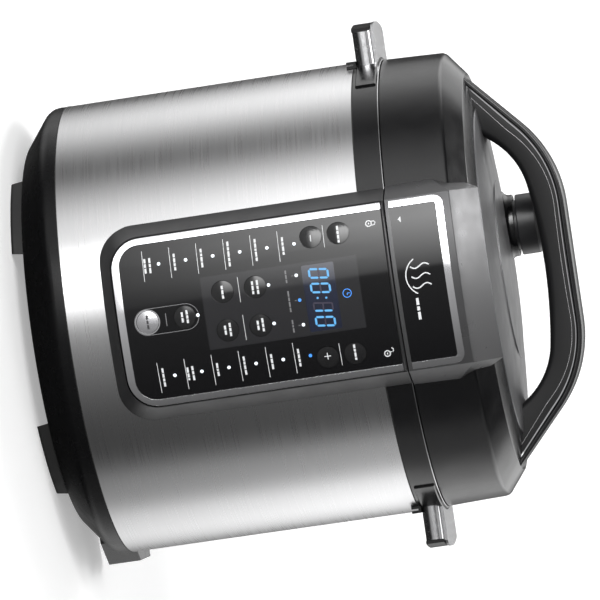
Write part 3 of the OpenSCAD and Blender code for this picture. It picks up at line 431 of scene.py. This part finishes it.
# CAD nodes that differ a little from the material of their slot
OWN_MATERIAL = {
    "display_digits": glowing("digit_blue", (0.12, 0.46, 0.85), 1.15),
    # Painted light: the front block gets a lighter copy of the frame's dark satin plastic, for the strong
    # light on its slope
    "lid_front_block": plastic("block_lit_satin", (0.07, 0.07, 0.072), 0.32, metallic=0.5, grain=1500),
    "base_shell": plastic("base_black", (0.0035, 0.0035, 0.0038), 0.27, grain=900, depth=0.004 * MM,
                          specular=0.2),
}
PRINT_WHITE = plastic("print_white", (0.62, 0.63, 0.64), 0.4, spread=0.06)
PRINT_DIM = plastic("print_dim", (0.16, 0.16, 0.165), 0.4, spread=0.1)
PRINT_DARK = plastic("print_dark", (0.03, 0.03, 0.032), 0.4)
GHOST = plastic("ghost_segment", (0.035, 0.03, 0.05), 0.3)

# Width of the rounded edges of each CAD node, in millimetres
EDGE = {
    "lid_front_block": 0.9, "control_frame": 0.9, "lid_cover": 0.5, "control_trim": 0.35, "lid_trim": 0.35,
    "side_handle_caps": 0.4, "side_handle_cores": 0.5, "steam_knob": 0.5, "valve_collar": 0.4,
    "base_shell": 0.4, "rubber_feet": 0.6, "power_inlet": 0.6, "condensate_cup": 0.25, "cup_bracket": 0.4,
    "collar_ring": 0.3, "lid_dome": 0.7, "inner_pot": 0.3, "lid_pan": 0.25, "outer_pot": 0.25,
    "heating_plate": 0.4,
}
WELD_GAP = 0.005 * MM      # CAD corners nearer than this are one corner


def dress_cad():
    """Gives each CAD node its material, and rounds its edges without touching its mesh."""
    slots = {part["node"]: part["material_slot"] for part in frame["record"]["subparts"]}
    for name, obj in frame["nodes"].items():
        obj.data.materials.clear()
        obj.data.materials.append(OWN_MATERIAL.get(name) or MATERIALS[slots[name]])
        width = EDGE.get(name)
        if width:
            weld = obj.modifiers.new("weld", "WELD")
            weld.merge_threshold = WELD_GAP
            bevel = obj.modifiers.new("edges", "BEVEL")
            bevel.width = width * MM
            bevel.segments = 2
            bevel.limit_method = "ANGLE"
            bevel.angle_limit = SHARP_ANGLE
            bevel.use_clamp_overlap = True
            normals = obj.modifiers.new("normals", "WEIGHTED_NORMAL")
            normals.keep_sharp = False


# ---- Lid handle ----

# Outer line: level on top, then a bend, then a straight slope down to the foot
HANDLE_SLOPE = math.radians(42.5)
HANDLE_BEND_R = 79 * MM
HANDLE_FOOT_X = 124.4 * MM
HANDLE_FOOT_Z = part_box("lid_cover")[1].z - 6 * MM
HANDLE_FOOT_RUN = 5 * MM             # how far the slope runs on into the lid
HANDLE_CAP_T = 3 * MM
# Underside: a flat arc, then a tighter throat, then a straight end that runs into the lid
UNDER_R, UNDER_X, UNDER_Z = 334 * MM, 50 * MM, 316.3 * MM
THROAT_R, THROAT_ANGLE = 48 * MM, math.radians(56)
UNDER_FOOT_RUN = 9 * MM
ARC_STEPS, SLOPE_STEPS = 26, 12      # points along each arc and each straight slope
ARCH_RINGS = 96                      # cross-sections along the handle
# Thin lines along the handle's faces: a bright pinstripe, and two lighter lines that are painted edge
# highlights
STRIPE_RINGS = 97
STRIPE_GUIDE = 10 * MM               # depth of the line that gives the direction down
STRIPE_DROP = 26 * MM                # drop over which a stripe goes from its top to its foot values
STRIPE_SINK = 0.4 * MM
# Name, depth at the top and at the foot, width at the top and at the foot, how far proud, slot
STRIPES = [
    # The edge line and the lower line are painted highlights: lighter strips where light catches the edges
    # of the cap and grip
    ("handle_edge_highlight", 2.2 * MM, 2.4 * MM, 0.3 * MM, 0.3 * MM, 0.08 * MM, "frame_satin"),
    ("handle_pinstripe", 4.2 * MM, 4.6 * MM, 0.5 * MM, 0.95 * MM, 0.12 * MM, "bright_trim"),
    ("handle_lower_highlight", 6.8 * MM, 9.6 * MM, 0.3 * MM, 0.35 * MM, 0.1 * MM, "handle_silver"),
]


def handle_outer(t):
    """Points of the outer line of the handle, lowered by t, from the left foot to the right."""
    rise = HANDLE_BEND_R * (1 - math.cos(HANDLE_SLOPE))
    run = (HANDLE_TOP - HANDLE_FOOT_Z - rise) / math.tan(HANDLE_SLOPE)
    bend_x = HANDLE_FOOT_X - run - HANDLE_BEND_R * math.sin(HANDLE_SLOPE)
    right = []
    for k in range(ARC_STEPS + 1):
        a = HANDLE_SLOPE * k / ARC_STEPS
        right.append((bend_x + (HANDLE_BEND_R - t) * math.sin(a),
                      HANDLE_TOP - HANDLE_BEND_R + (HANDLE_BEND_R - t) * math.cos(a)))
    foot = (HANDLE_FOOT_X + HANDLE_FOOT_RUN - t / math.sin(HANDLE_SLOPE),
            HANDLE_FOOT_Z - HANDLE_FOOT_RUN * math.tan(HANDLE_SLOPE))
    last = right[-1]
    for k in range(1, SLOPE_STEPS + 1):
        right.append((last[0] + (foot[0] - last[0]) * k / SLOPE_STEPS,
                      last[1] + (foot[1] - last[1]) * k / SLOPE_STEPS))
    return [(-x, z) for x, z in reversed(right)] + right


def handle_under():
    """Points of the underside of the handle, from the left foot to the right."""
    a0 = math.asin(UNDER_X / UNDER_R)
    throat_x = UNDER_X - THROAT_R * math.sin(a0)
    throat_z = UNDER_Z - UNDER_R * (1 - math.cos(a0)) - THROAT_R * math.cos(a0)
    right = []
    for k in range(ARC_STEPS + 1):
        a = a0 * k / ARC_STEPS
        right.append((UNDER_R * math.sin(a), UNDER_Z - UNDER_R * (1 - math.cos(a))))
    for k in range(1, ARC_STEPS + 1):
        a = a0 + (THROAT_ANGLE - a0) * k / ARC_STEPS
        right.append((throat_x + THROAT_R * math.sin(a), throat_z + THROAT_R * math.cos(a)))
    end = right[-1]
    right.append((end[0] + UNDER_FOOT_RUN, end[1] - UNDER_FOOT_RUN * math.tan(THROAT_ANGLE)))
    return [(-x, z) for x, z in reversed(right)] + right


def resample(points, count):
    """Points spread evenly along a line."""
    pts = [Vector(p) for p in points]
    runs = [0.0]
    for a, b in zip(pts, pts[1:]):
        runs.append(runs[-1] + (b - a).length)
    out = []
    k = 0
    for i in range(count):
        s = runs[-1] * i / (count - 1)
        while k < len(runs) - 2 and runs[k + 1] < s:
            k += 1
        step = runs[k + 1] - runs[k]
        t = (s - runs[k]) / step if step > 0 else 0
        out.append(pts[k].lerp(pts[k + 1], t))
    return out


def arch(name, outer, inner, half_depth, slot, r_outer, r_inner):
    """A bar that runs over the lid between two lines, with rounded edges."""
    rings = []
    for o, i in zip(resample(outer, ARCH_RINGS), resample(inner, ARCH_RINGS)):
        along = i - o
        length = along.length
        unit = along / length
        section = rounded([(0, -half_depth, r_outer), (0, half_depth, r_outer),
                           (length, half_depth, r_inner), (length, -half_depth, r_inner)], steps=5)
        rings.append([(o.x + unit.x * d, y, o.y + unit.y * d) for d, y in section])
    verts, faces = loft(rings)
    return mesh_object(name, verts, faces, MATERIALS[slot], "lid")


def handle_stripe(name, near_top, near_foot, width_top, width_foot, proud, slot):
    """A thin line along both faces of the handle, whose depth and width differ at its top and foot."""
    base = resample(handle_outer(0), STRIPE_RINGS)
    below = resample(handle_outer(STRIPE_GUIDE), STRIPE_RINGS)
    verts, faces = [], []
    for side in (-1, 1):
        rings = []
        for o, b in zip(base, below):
            share = min(1, (HANDLE_TOP - o.y) / STRIPE_DROP)
            down = (b - o).normalized()
            d = near_top + (near_foot - near_top) * share
            w = (width_top + (width_foot - width_top) * share) / 2
            y0, y1 = side * (HANDLE_HALF_DEPTH - STRIPE_SINK), side * (HANDLE_HALF_DEPTH + proud)
            p, q = o + down * (d - w), o + down * (d + w)
            rings.append([(p.x, y0, p.y), (p.x, y1, p.y), (q.x, y1, q.y), (q.x, y0, q.y)])
        v, f = loft(rings)
        faces += [tuple(i + len(verts) for i in face) for face in f]
        verts += v
    return mesh_object(name, verts, faces, MATERIALS[slot], "lid")


def make_handle():
    """The handle's grip and thin cap, in place of the CAD ones, and three lines along its faces, two of
    them painted edge highlights.
    """
    inset, lap = 0.2 * MM, 0.3 * MM
    grip = arch("handle_grip", handle_outer(HANDLE_CAP_T), handle_under(), HANDLE_HALF_DEPTH - inset,
                "matte_black", r_outer=0.6 * MM, r_inner=5 * MM)
    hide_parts("handle_core")
    cap = arch("handle_top_cap", handle_outer(0), handle_outer(HANDLE_CAP_T - lap), HANDLE_HALF_DEPTH,
               "body_black", r_outer=1.1 * MM, r_inner=0.2 * MM)
    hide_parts("handle_cap")
    for stripe in STRIPES:
        handle_stripe(*stripe)


# ---- Rings round the body ----

RING_INSET = 1 * MM        # how far each ring reaches into the body
# Name, how far proud of the sleeve, height from and to, fillet, slot
RINGS = [
    ("sleeve_gasket", 0.12 * MM, SLEEVE_Z1 - 0.35 * MM, SLEEVE_Z1 + 0.35 * MM, 0.1 * MM, "foot_rubber"),
    ("sleeve_foot_line", 0.12 * MM, SLEEVE_Z0 - 0.4 * MM, SLEEVE_Z0 + 0.2 * MM, 0.1 * MM, "foot_rubber"),
    ("collar_rim", 0.16 * MM, BODY_TOP - 0.75 * MM, BODY_TOP - 0.05 * MM, 0.3 * MM, "handle_silver"),
]


def thin_ring(name, proud, z0, z1, fillet, slot):
    """A ring round the body from z0 to z1 that stands a little proud of the sleeve."""
    r0, r1 = BODY_R - RING_INSET, BODY_R + proud
    verts, faces = lathe(rounded([(r0, z0, 0), (r1, z0, fillet), (r1, z1, fillet), (r0, z1, 0)]))
    return mesh_object(name, verts, faces, MATERIALS[slot], "base")


def make_rings():
    """Dark joints at both ends of the sleeve, and a bright line under the lid."""
    for ring in RINGS:
        thin_ring(*ring)


# ---- Control panel print ----

LAMP_R = 1 * MM
PROGRAM_PITCH = 16.6 * MM              # from one programme lamp to the next
LABEL_SHIFT, LABEL_DROP = 0.3 * MM, 6.9 * MM
# The rule under each label reaches from left to right of its lamp
RULE_LEFT, RULE_RIGHT, RULE_DROP, RULE_W = 9.0 * MM, 9.4 * MM, 9.6 * MM, 0.32 * MM
ROW_PITCH = 3 * MM                     # between the two rows of a label
LOCK_X, LOCK_Z = 39.4 * MM, 225 * MM   # the padlocks, over the two columns
LOCK_R, LOCK_DROP, LOCK_W = 1.7 * MM, 0.6 * MM, 0.6 * MM
KEYHOLE_HALF, KEYHOLE_W = 0.5 * MM, 0.7 * MM
SHACKLE_R, SHACKLE_RISE, SHACKLE_SHIFT, SHACKLE_W = 1.15 * MM, 2.2 * MM, 1.9 * MM, 0.5 * MM
POST_RISE = 1.0 * MM                   # where the shackle's straight ends stop
# The outline round the two lowest buttons, and the divider between them
CAPSULE_R, CAPSULE_RISE, CAPSULE_W = 7.9 * MM, 0.6 * MM, 0.35 * MM
DIVIDER_HALF, DIVIDER_W = 3.8 * MM, 0.45 * MM
MENU_RING_R, MENU_RING_W = 7.3 * MM, 0.6 * MM
CLOCK_R, CLOCK_RISE, CLOCK_W = 2.5 * MM, 5.8 * MM, 0.42 * MM
HAND_W, LONG_HAND, SHORT_HAND = 0.4 * MM, 1.6 * MM, 1.2 * MM

# Lengths in millimetres of the bars in each row of a label, down the left and the right column
LEFT_LABELS = [[[2.6, 2.0, 2.8, 1.8]], [[2.2, 2.6, 1.4, 3.0, 2.2]], [[2.8, 2.0, 3.4, 2.2, 2.6]],
               [[2.4, 1.6, 2.8, 3.0]], [[2.2, 2.6, 1.8, 2.0]], [[3.0, 2.0, 3.2], [2.6, 2.2, 3.0]]]
RIGHT_LABELS = [[[2.8, 2.4, 1.8, 2.2]], [[2.4, 2.6, 3.2]], [[2.6, 1.8, 2.4, 2.8]], [[3.0, 1.2, 2.6]],
                [[2.6, 2.0, 3.0], [3.2, 2.4, 1.2]], [[2.8, 2.4, 1.8, 2.6]]]
# Under each of the three level lamps: a tick, then a label at x with its bars
LEVEL_TICK_TOP, LEVEL_TICK_END, LEVEL_TICK_W = 1.7 * MM, 3.0 * MM, 0.35 * MM
LEVEL_LABEL_DROP, LEVEL_LABEL_H = 6.3 * MM, 0.9 * MM
LEVEL_LABELS = [(-15 * MM, [2.2, 2.4, 2.0]), (0, [3.4, 2.2, 3.0, 2.6]), (15 * MM, [2.6, 1.4, 2.6])]
BUTTON_RULE_W = 0.3 * MM
# Rules under buttons: node, half length, drop below the middle of the button
BUTTON_RULES = [("button_cancel", 6.6 * MM, 8.9 * MM), ("button_start", 6.6 * MM, 8.9 * MM),
                ("button_manual", 7.6 * MM, 9.9 * MM), ("button_delay", 7.6 * MM, 9.9 * MM)]


def word_rows(x, z, rows):
    """Rows of bars in place of a printed label of one or two lines."""
    out = []
    top = z + (len(rows) - 1) * ROW_PITCH / 2
    for k, lengths in enumerate(rows):
        out += dashes(x, top - k * ROW_PITCH, lengths)
    return out


def lock_icon(x, z, is_open):
    """A padlock: a ring with a slot, and a shackle over it or beside it."""
    ring_z, shackle_z, post_z = z - LOCK_DROP, z + SHACKLE_RISE, z + POST_RISE
    shackle_x = x - SHACKLE_SHIFT if is_open else x
    strokes = [circle_stroke(x, ring_z, LOCK_R, LOCK_W),
               line(x - KEYHOLE_HALF, ring_z, x + KEYHOLE_HALF, ring_z, KEYHOLE_W, 2),
               circle_stroke(shackle_x, shackle_z, SHACKLE_R, SHACKLE_W, 20 if is_open else 0, 180, 12)]
    for side in ((1,) if is_open else (-1, 1)):
        post_x = shackle_x + side * SHACKLE_R
        strokes.append(line(post_x, shackle_z, post_x, post_z, SHACKLE_W, 2))
    return strokes


def make_white_print():
    """Programme labels with a rule under each, rules under buttons, and the two padlocks."""
    lamps_lo, lamps_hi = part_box("leds_white")
    columns = ((lamps_lo.x + LAMP_R, LEFT_LABELS), (lamps_hi.x - LAMP_R, RIGHT_LABELS))
    top_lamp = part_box("leds_blue")[1].z - LAMP_R
    strokes = []
    for i in range(len(LEFT_LABELS)):
        z = top_lamp - PROGRAM_PITCH * i
        for x, labels in columns:
            strokes += word_rows(x + LABEL_SHIFT, z - LABEL_DROP, labels[i])
            strokes.append(line(x - RULE_LEFT, z - RULE_DROP, x + RULE_RIGHT, z - RULE_DROP, RULE_W, 10))
    for node, half, drop in BUTTON_RULES:
        x, z = box_centre(node)
        strokes.append(line(x - half, z - drop, x + half, z - drop, BUTTON_RULE_W, 8))
    strokes += lock_icon(-LOCK_X, LOCK_Z, False)
    strokes += lock_icon(LOCK_X, LOCK_Z, True)
    print_piece("panel_print", strokes, PRINT_WHITE, "base")


def make_dim_print():
    """Level labels with their ticks, and the outline round the two lowest buttons."""
    level_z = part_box("leds_blue")[0].z + LAMP_R
    strokes = []
    for x, lengths in LEVEL_LABELS:
        strokes.append(line(x, level_z - LEVEL_TICK_END, x, level_z - LEVEL_TICK_TOP, LEVEL_TICK_W, 2))
        strokes += dashes(x, level_z - LEVEL_LABEL_DROP, lengths, LEVEL_LABEL_H)
    keep_z, menu_z = box_centre("button_keep_warm")[1], box_centre("button_menu")[1]
    capsule = arc_points(0, keep_z + CAPSULE_RISE, CAPSULE_R, range(0, 181, 10))
    capsule += arc_points(0, menu_z, CAPSULE_R, range(180, 361, 10))
    strokes.append((capsule, CAPSULE_W, True))
    middle = (keep_z + menu_z) / 2
    strokes.append(line(-DIVIDER_HALF, middle, DIVIDER_HALF, middle, DIVIDER_W, 4))
    print_piece("panel_print_dim", strokes, PRINT_DIM, "base")


def make_panel_print():
    """All print of the control panel, the ring round the lowest button and the clock sign."""
    make_white_print()
    make_dim_print()
    menu_z = box_centre("button_menu")[1]
    print_piece("menu_ring", [circle_stroke(0, menu_z, MENU_RING_R, MENU_RING_W, steps=48)],
                MATERIALS["bright_trim"], "base")
    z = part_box("display_window")[1].z + CLOCK_RISE
    clock = [circle_stroke(0, z, CLOCK_R, CLOCK_W), line(0, z, 0, z + LONG_HAND, HAND_W, 2),
             line(0, z, SHORT_HAND, z, HAND_W, 2)]
    print_piece("clock_icon", clock, MATERIALS["lamp_blue"], "base")


# ---- Lid print ----

ARROW_X, ARROW_RISE = -39.2 * MM, 5.95 * MM
ARROW_ROW, ARROW_W = 0.42 * MM, 0.44 * MM  # pitch and width of the rows that fill the arrow
ARROW_HALF_WIDTHS = (1.7, 1.25, 0.8, 0.3)  # of those rows, in millimetres
SIGN_X = -4 * MM
WAVE_PITCH, WAVE_SWING, WAVE_STEPS, WAVE_W = 6 * MM, 1.3 * MM, 12, 0.75 * MM
WAVE_RISE, WAVE_STEP = 8 * MM, 0.95 * MM
BOWL_RISE, BOWL_R, BOWL_W, BOWL_ANGLES = 17 * MM, 12.3 * MM, 0.7 * MM, (212, 328)
LID_BARS, LID_BARS_X, LID_BARS_RISE = [4.2, 2.4, 4.6], 15.5 * MM, 9.5 * MM
LID_BAR_H, LID_BAR_GAP = 1.7 * MM, 0.9 * MM


def make_lid_print():
    """A small arrow, a generic steam sign of three waves over a bowl line, and a few bars."""
    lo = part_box("lid_faceplate")[0]
    strokes = []
    for k, half in enumerate(ARROW_HALF_WIDTHS):
        z = lo.z + ARROW_RISE - ARROW_ROW * k
        strokes.append(line(ARROW_X - half * MM, z, ARROW_X + half * MM, z, ARROW_W, 2))
    for k in (-1, 0, 1):
        wave = [(SIGN_X + k * WAVE_PITCH + WAVE_SWING * math.sin(t / WAVE_STEPS * 2 * math.pi),
                 lo.z + WAVE_RISE + WAVE_STEP * t) for t in range(WAVE_STEPS + 1)]
        strokes.append((wave, WAVE_W, False))
    strokes.append(circle_stroke(SIGN_X, lo.z + BOWL_RISE, BOWL_R, BOWL_W, *BOWL_ANGLES, 20))
    strokes += dashes(LID_BARS_X, lo.z + LID_BARS_RISE, LID_BARS, LID_BAR_H, LID_BAR_GAP)
    print_piece("lid_print", strokes, PRINT_WHITE, "lid", r=-lo.y)


# ---- Button marks and unlit segments ----

MARK_SINK = 0.06 * MM      # marks start this much behind the panel's trim, just inside the button fronts
MARK_LIFT = 0.07 * MM
MINUS_HALF, PLUS_HALF, MARK_W = 1.9 * MM, 2 * MM, 0.5 * MM
BUTTON_LABELS = {
    "cancel": [[2.4, 2.0, 2.4, 1.8]], "start": [[2.2, 1.6, 2.6, 1.4]],
    "manual": [[3.0, 2.0, 2.4], [2.2, 2.8, 1.8]], "delay": [[2.8, 2.2, 2.0], [2.4, 2.8]],
    "level": [[2.2, 2.6, 2.0]], "cook_time": [[2.6, 2.0, 2.4], [2.4, 2.6]],
    "keep_warm": [[2.6, 2.0, 2.2], [3.0, 2.6]],
}


def on_button(key, strokes, mat):
    """A mark that rides on its button."""
    print_piece("mark_" + key, strokes, mat, "key_" + key, r=PANEL_R - MARK_SINK, lift=MARK_LIFT)


def make_button_marks():
    """Bars on the labelled buttons, a minus and a plus."""
    for key, rows in BUTTON_LABELS.items():
        x, z = box_centre("button_" + key)
        on_button(key, word_rows(x, z, rows), PRINT_WHITE)
    x, z = box_centre("button_menu")
    on_button("menu", word_rows(x, z, [[2.6, 2.2, 2.6]]), PRINT_DARK)
    x, z = box_centre("button_minus")
    on_button("minus", [line(x - MINUS_HALF, z, x + MINUS_HALF, z, MARK_W, 3)], PRINT_WHITE)
    x, z = box_centre("button_plus")
    on_button("plus", [line(x - PLUS_HALF, z, x + PLUS_HALF, z, MARK_W, 3),
                       line(x, z - PLUS_HALF, x, z + PLUS_HALF, MARK_W, 3)], PRINT_WHITE)


DIGIT_W = 6.4 * MM
DIGIT_LEAN = 0.12                                               # sideways shift per height
UNLIT = {-14.2: "g", -5.4: "g", 5.8: "adefg", 14.8: "g"}        # x of each digit in mm, and its dark bars
# Ends of each bar as x, z, x, z: x in half widths, z in quarter heights
BAR_ENDS = {"a": (-1, 2, 1, 2), "d": (-1, -2, 1, -2), "g": (-1, 0, 1, 0), "e": (-1, -2, -1, 0),
            "f": (-1, 0, -1, 2)}
BAR_HALF = 0.8 * (DIGIT_W / 2 - 0.6 * MM)                       # half the length of a level bar
BAR_W, BAR_LIFT = 0.9 * MM, 0.03 * MM


def make_ghost_segments():
    """The unlit bars of the digits, faint behind the glass."""
    lo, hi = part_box("display_digits")
    middle = (lo.z + hi.z) / 2
    quarter = 0.9 * (hi.z - lo.z) / 4
    strokes = []
    for digit_x, names in UNLIT.items():
        for name in names:
            x0, z0, x1, z1 = BAR_ENDS[name]
            ends = [(digit_x * MM + BAR_HALF * sx + DIGIT_LEAN * sz * quarter, middle + sz * quarter)
                    for sx, sz in ((x0, z0), (x1, z1))]
            strokes.append(line(*ends[0], *ends[1], BAR_W, 2))
    print_piece("unlit_segments", strokes, GHOST, "base", r=GLASS_R, lift=BAR_LIFT)


# ---- Studio ----

# Brightness round the part at the height of its walls: azimuth from the front in degrees, value
BAND = [(-180, 0.04), (-156, 0.08), (-147, 0.6), (-129, 1.45), (-119, 1.35), (-111, 0.95), (-104, 0.6),
        (-97, 0.3), (-91, 0.17), (-85, 0.2), (-80, 0.42), (-74, 0.75), (-65, 1.2), (-57, 1.65),
        (-44, 1.6), (-38, 1.0), (-7, 0.62), (0, 0.5), (7, 0.4), (14, 0.33), (28, 0.2), (43, 0.1),
        (66, 0.05), (74, 0.13), (83, 0.44), (98, 0.5), (105, 0.78), (112, 1.3), (134, 1.6),
        (147, 1.1), (158, 0.4), (180, 0.04)]
BAND_IN, BAND_OUT = (-42, -24), (20, 48)     # elevations over which the band comes in and goes out
# Soft boxes: azimuth range, elevation range, softness in azimuth and in elevation, strength
SOFT_BOXES = [
    (-190, -120, 7, 34, 12, 5, 1.1),         # behind, low
    (120, 190, 7, 34, 12, 5, 1.0),
    (-172, -146, 50, 74, 9, 7, 13.0),        # over the back, left
    (-200, -150, 52, 74, 16, 7, 3.6),        # over the back, middle
    (150, 200, 52, 74, 16, 7, 2.2),
    (-120, 120, 62, 100, 14, 8, 0.6),        # overhead
]
KEY_LIGHT = (-38, -7, -6.8, 50, 1.0, 3, 12.5)    # a soft box at the front left
KEY_FADE = (-30, -7, 1.0, 0.16)                  # azimuths over which it fades, and from what to what
FILL = 0.03                                      # light from everywhere
FLOOR_HALF = 60.0                                # half the side of the floor, in metres
CAMERA_PLACE, CAMERA_TARGET = Vector((0, -3.398, 0.5435)), Vector((0, 0, 0.1598))
CAMERA_ROLL = math.radians(81.64)
CAMERA_LENS = 326.3                              # in millimetres, on a 36 mm sensor


def studio_world():
    """White studio: a band of soft light whose brightness depends on the direction round the part."""
    world = bpy.data.worlds.new("studio")
    bpy.context.scene.world = world
    world.use_nodes = True
    nt = world.node_tree
    nt.nodes.clear()
    place = add(nt, "ShaderNodeTexCoord")
    split = add(nt, "ShaderNodeSeparateXYZ")
    nt.links.new(place.outputs["Generated"], split.inputs["Vector"])

    def math_node(operation, a, b=None, c=None):
        node = add(nt, "ShaderNodeMath", operation=operation)
        for socket, value in zip(node.inputs, (a, b, c)):
            if value is None:
                continue
            if isinstance(value, (int, float)):
                socket.default_value = value
            else:
                nt.links.new(value, socket)
        return node.outputs[0]

    back = math_node("MULTIPLY", split.outputs["Y"], -1.0)
    azimuth = math_node("DEGREES", math_node("ARCTAN2", split.outputs["X"], back))
    elevation = math_node("DEGREES", math_node("ARCSINE", split.outputs["Z"]))

    def smooth(value, start, end):
        """0 below start, 1 above end, and a smooth step between."""
        node = add(nt, "ShaderNodeMapRange", interpolation_type="SMOOTHSTEP")
        node.inputs["From Min"].default_value = start
        node.inputs["From Max"].default_value = end
        nt.links.new(value, node.inputs["Value"])
        return node.outputs["Result"]

    def soft_box(az0, az1, el0, el1, soft_az, soft_el, strength):
        """Light from a range of directions, with soft edges."""
        rise = smooth(azimuth, az0 - soft_az, az0 + soft_az)
        fall = math_node("SUBTRACT", 1.0, smooth(azimuth, az1 - soft_az, az1 + soft_az))
        low = smooth(elevation, el0 - soft_el, el0 + soft_el)
        high = math_node("SUBTRACT", 1.0, smooth(elevation, el1 - soft_el, el1 + soft_el))
        flat = math_node("MULTIPLY", math_node("MULTIPLY", rise, fall), math_node("MULTIPLY", low, high))
        return math_node("MULTIPLY", flat, strength)

    ramp = add(nt, "ShaderNodeValToRGB")
    ramp.color_ramp.interpolation = "LINEAR"
    share = math_node("DIVIDE", math_node("ADD", azimuth, 180.0), 360.0)
    nt.links.new(share, ramp.inputs["Fac"])
    top = max(value for _, value in BAND)
    stops = ramp.color_ramp.elements
    for k, (az, value) in enumerate(BAND):
        place_in_ramp = (az + 180) / 360
        stop = stops[k] if k < 2 else stops.new(place_in_ramp)
        stop.position = place_in_ramp
        stop.color = (value / top, value / top, value / top, 1)
    around = math_node("MULTIPLY", ramp.outputs["Color"], top)
    level = math_node("MULTIPLY", smooth(elevation, *BAND_IN),
                      math_node("SUBTRACT", 1.0, smooth(elevation, *BAND_OUT)))
    total = math_node("MULTIPLY", around, level)
    for box in SOFT_BOXES:
        total = math_node("ADD", total, soft_box(*box))
    # The key light fades towards its right edge
    fade = add(nt, "ShaderNodeMapRange")
    for socket, value in zip(("From Min", "From Max", "To Min", "To Max"), KEY_FADE):
        fade.inputs[socket].default_value = value
    nt.links.new(azimuth, fade.inputs["Value"])
    key = math_node("MULTIPLY", soft_box(*KEY_LIGHT), fade.outputs["Result"])
    total = math_node("ADD", math_node("ADD", total, key), FILL)
    lit = add(nt, "ShaderNodeBackground")
    nt.links.new(total, lit.inputs["Strength"])
    # What the camera sees behind the part is plain white
    plain = add(nt, "ShaderNodeBackground")
    plain.inputs["Strength"].default_value = 1.0
    plain.inputs["Color"].default_value = (1, 1, 1, 1)
    path = add(nt, "ShaderNodeLightPath")
    mix = add(nt, "ShaderNodeMixShader")
    nt.links.new(path.outputs["Is Camera Ray"], mix.inputs[0])
    nt.links.new(lit.outputs[0], mix.inputs[1])
    nt.links.new(plain.outputs[0], mix.inputs[2])
    out = add(nt, "ShaderNodeOutputWorld")
    nt.links.new(mix.outputs[0], out.inputs["Surface"])


def studio_floor():
    """A wide pale floor that shiny parts don't mirror, since the studio light reaches below it."""
    corners = [(x * FLOOR_HALF, y * FLOOR_HALF, 0) for x, y in ((-1, -1), (1, -1), (1, 1), (-1, 1))]
    mesh = bpy.data.meshes.new("floor")
    mesh.from_pydata(corners, [], [(0, 1, 2, 3)])
    floor = bpy.data.objects.new("floor", mesh)
    bpy.context.scene.collection.objects.link(floor)
    mat, nt, bsdf = new_material("floor_pale")
    nt.links.new(tones(nt, noise(nt, 3), (0.86, 0.86, 0.86), (0.88, 0.88, 0.88)), bsdf.inputs["Base Color"])
    bsdf.inputs["Roughness"].default_value = 0.9
    bsdf.inputs["Specular IOR Level"].default_value = 0.0
    bsdf.inputs["Emission Color"].default_value = (1, 1, 1, 1)
    bsdf.inputs["Emission Strength"].default_value = 0.35
    mesh.materials.append(mat)
    floor.visible_glossy = False


def studio_camera():
    """The camera: far off, a little above the middle, and rolled, so that the part lies on its side."""
    data = bpy.data.cameras.new("camera")
    data.lens = CAMERA_LENS
    data.sensor_width = 36
    data.clip_end = 200
    camera = bpy.data.objects.new("camera", data)
    bpy.context.scene.collection.objects.link(camera)
    look = (CAMERA_TARGET - CAMERA_PLACE).to_track_quat("-Z", "Y").to_matrix()
    turned = look @ Matrix.Rotation(CAMERA_ROLL, 3, "Z")
    camera.matrix_world = Matrix.Translation(CAMERA_PLACE) @ turned.to_4x4()
    bpy.context.scene.camera = camera


dress_cad()
make_handle()
make_rings()
make_panel_print()
make_lid_print()
make_button_marks()
make_ghost_segments()
studio_world()
studio_floor()
studio_camera()
bpy.context.scene.view_settings.view_transform = "Standard"
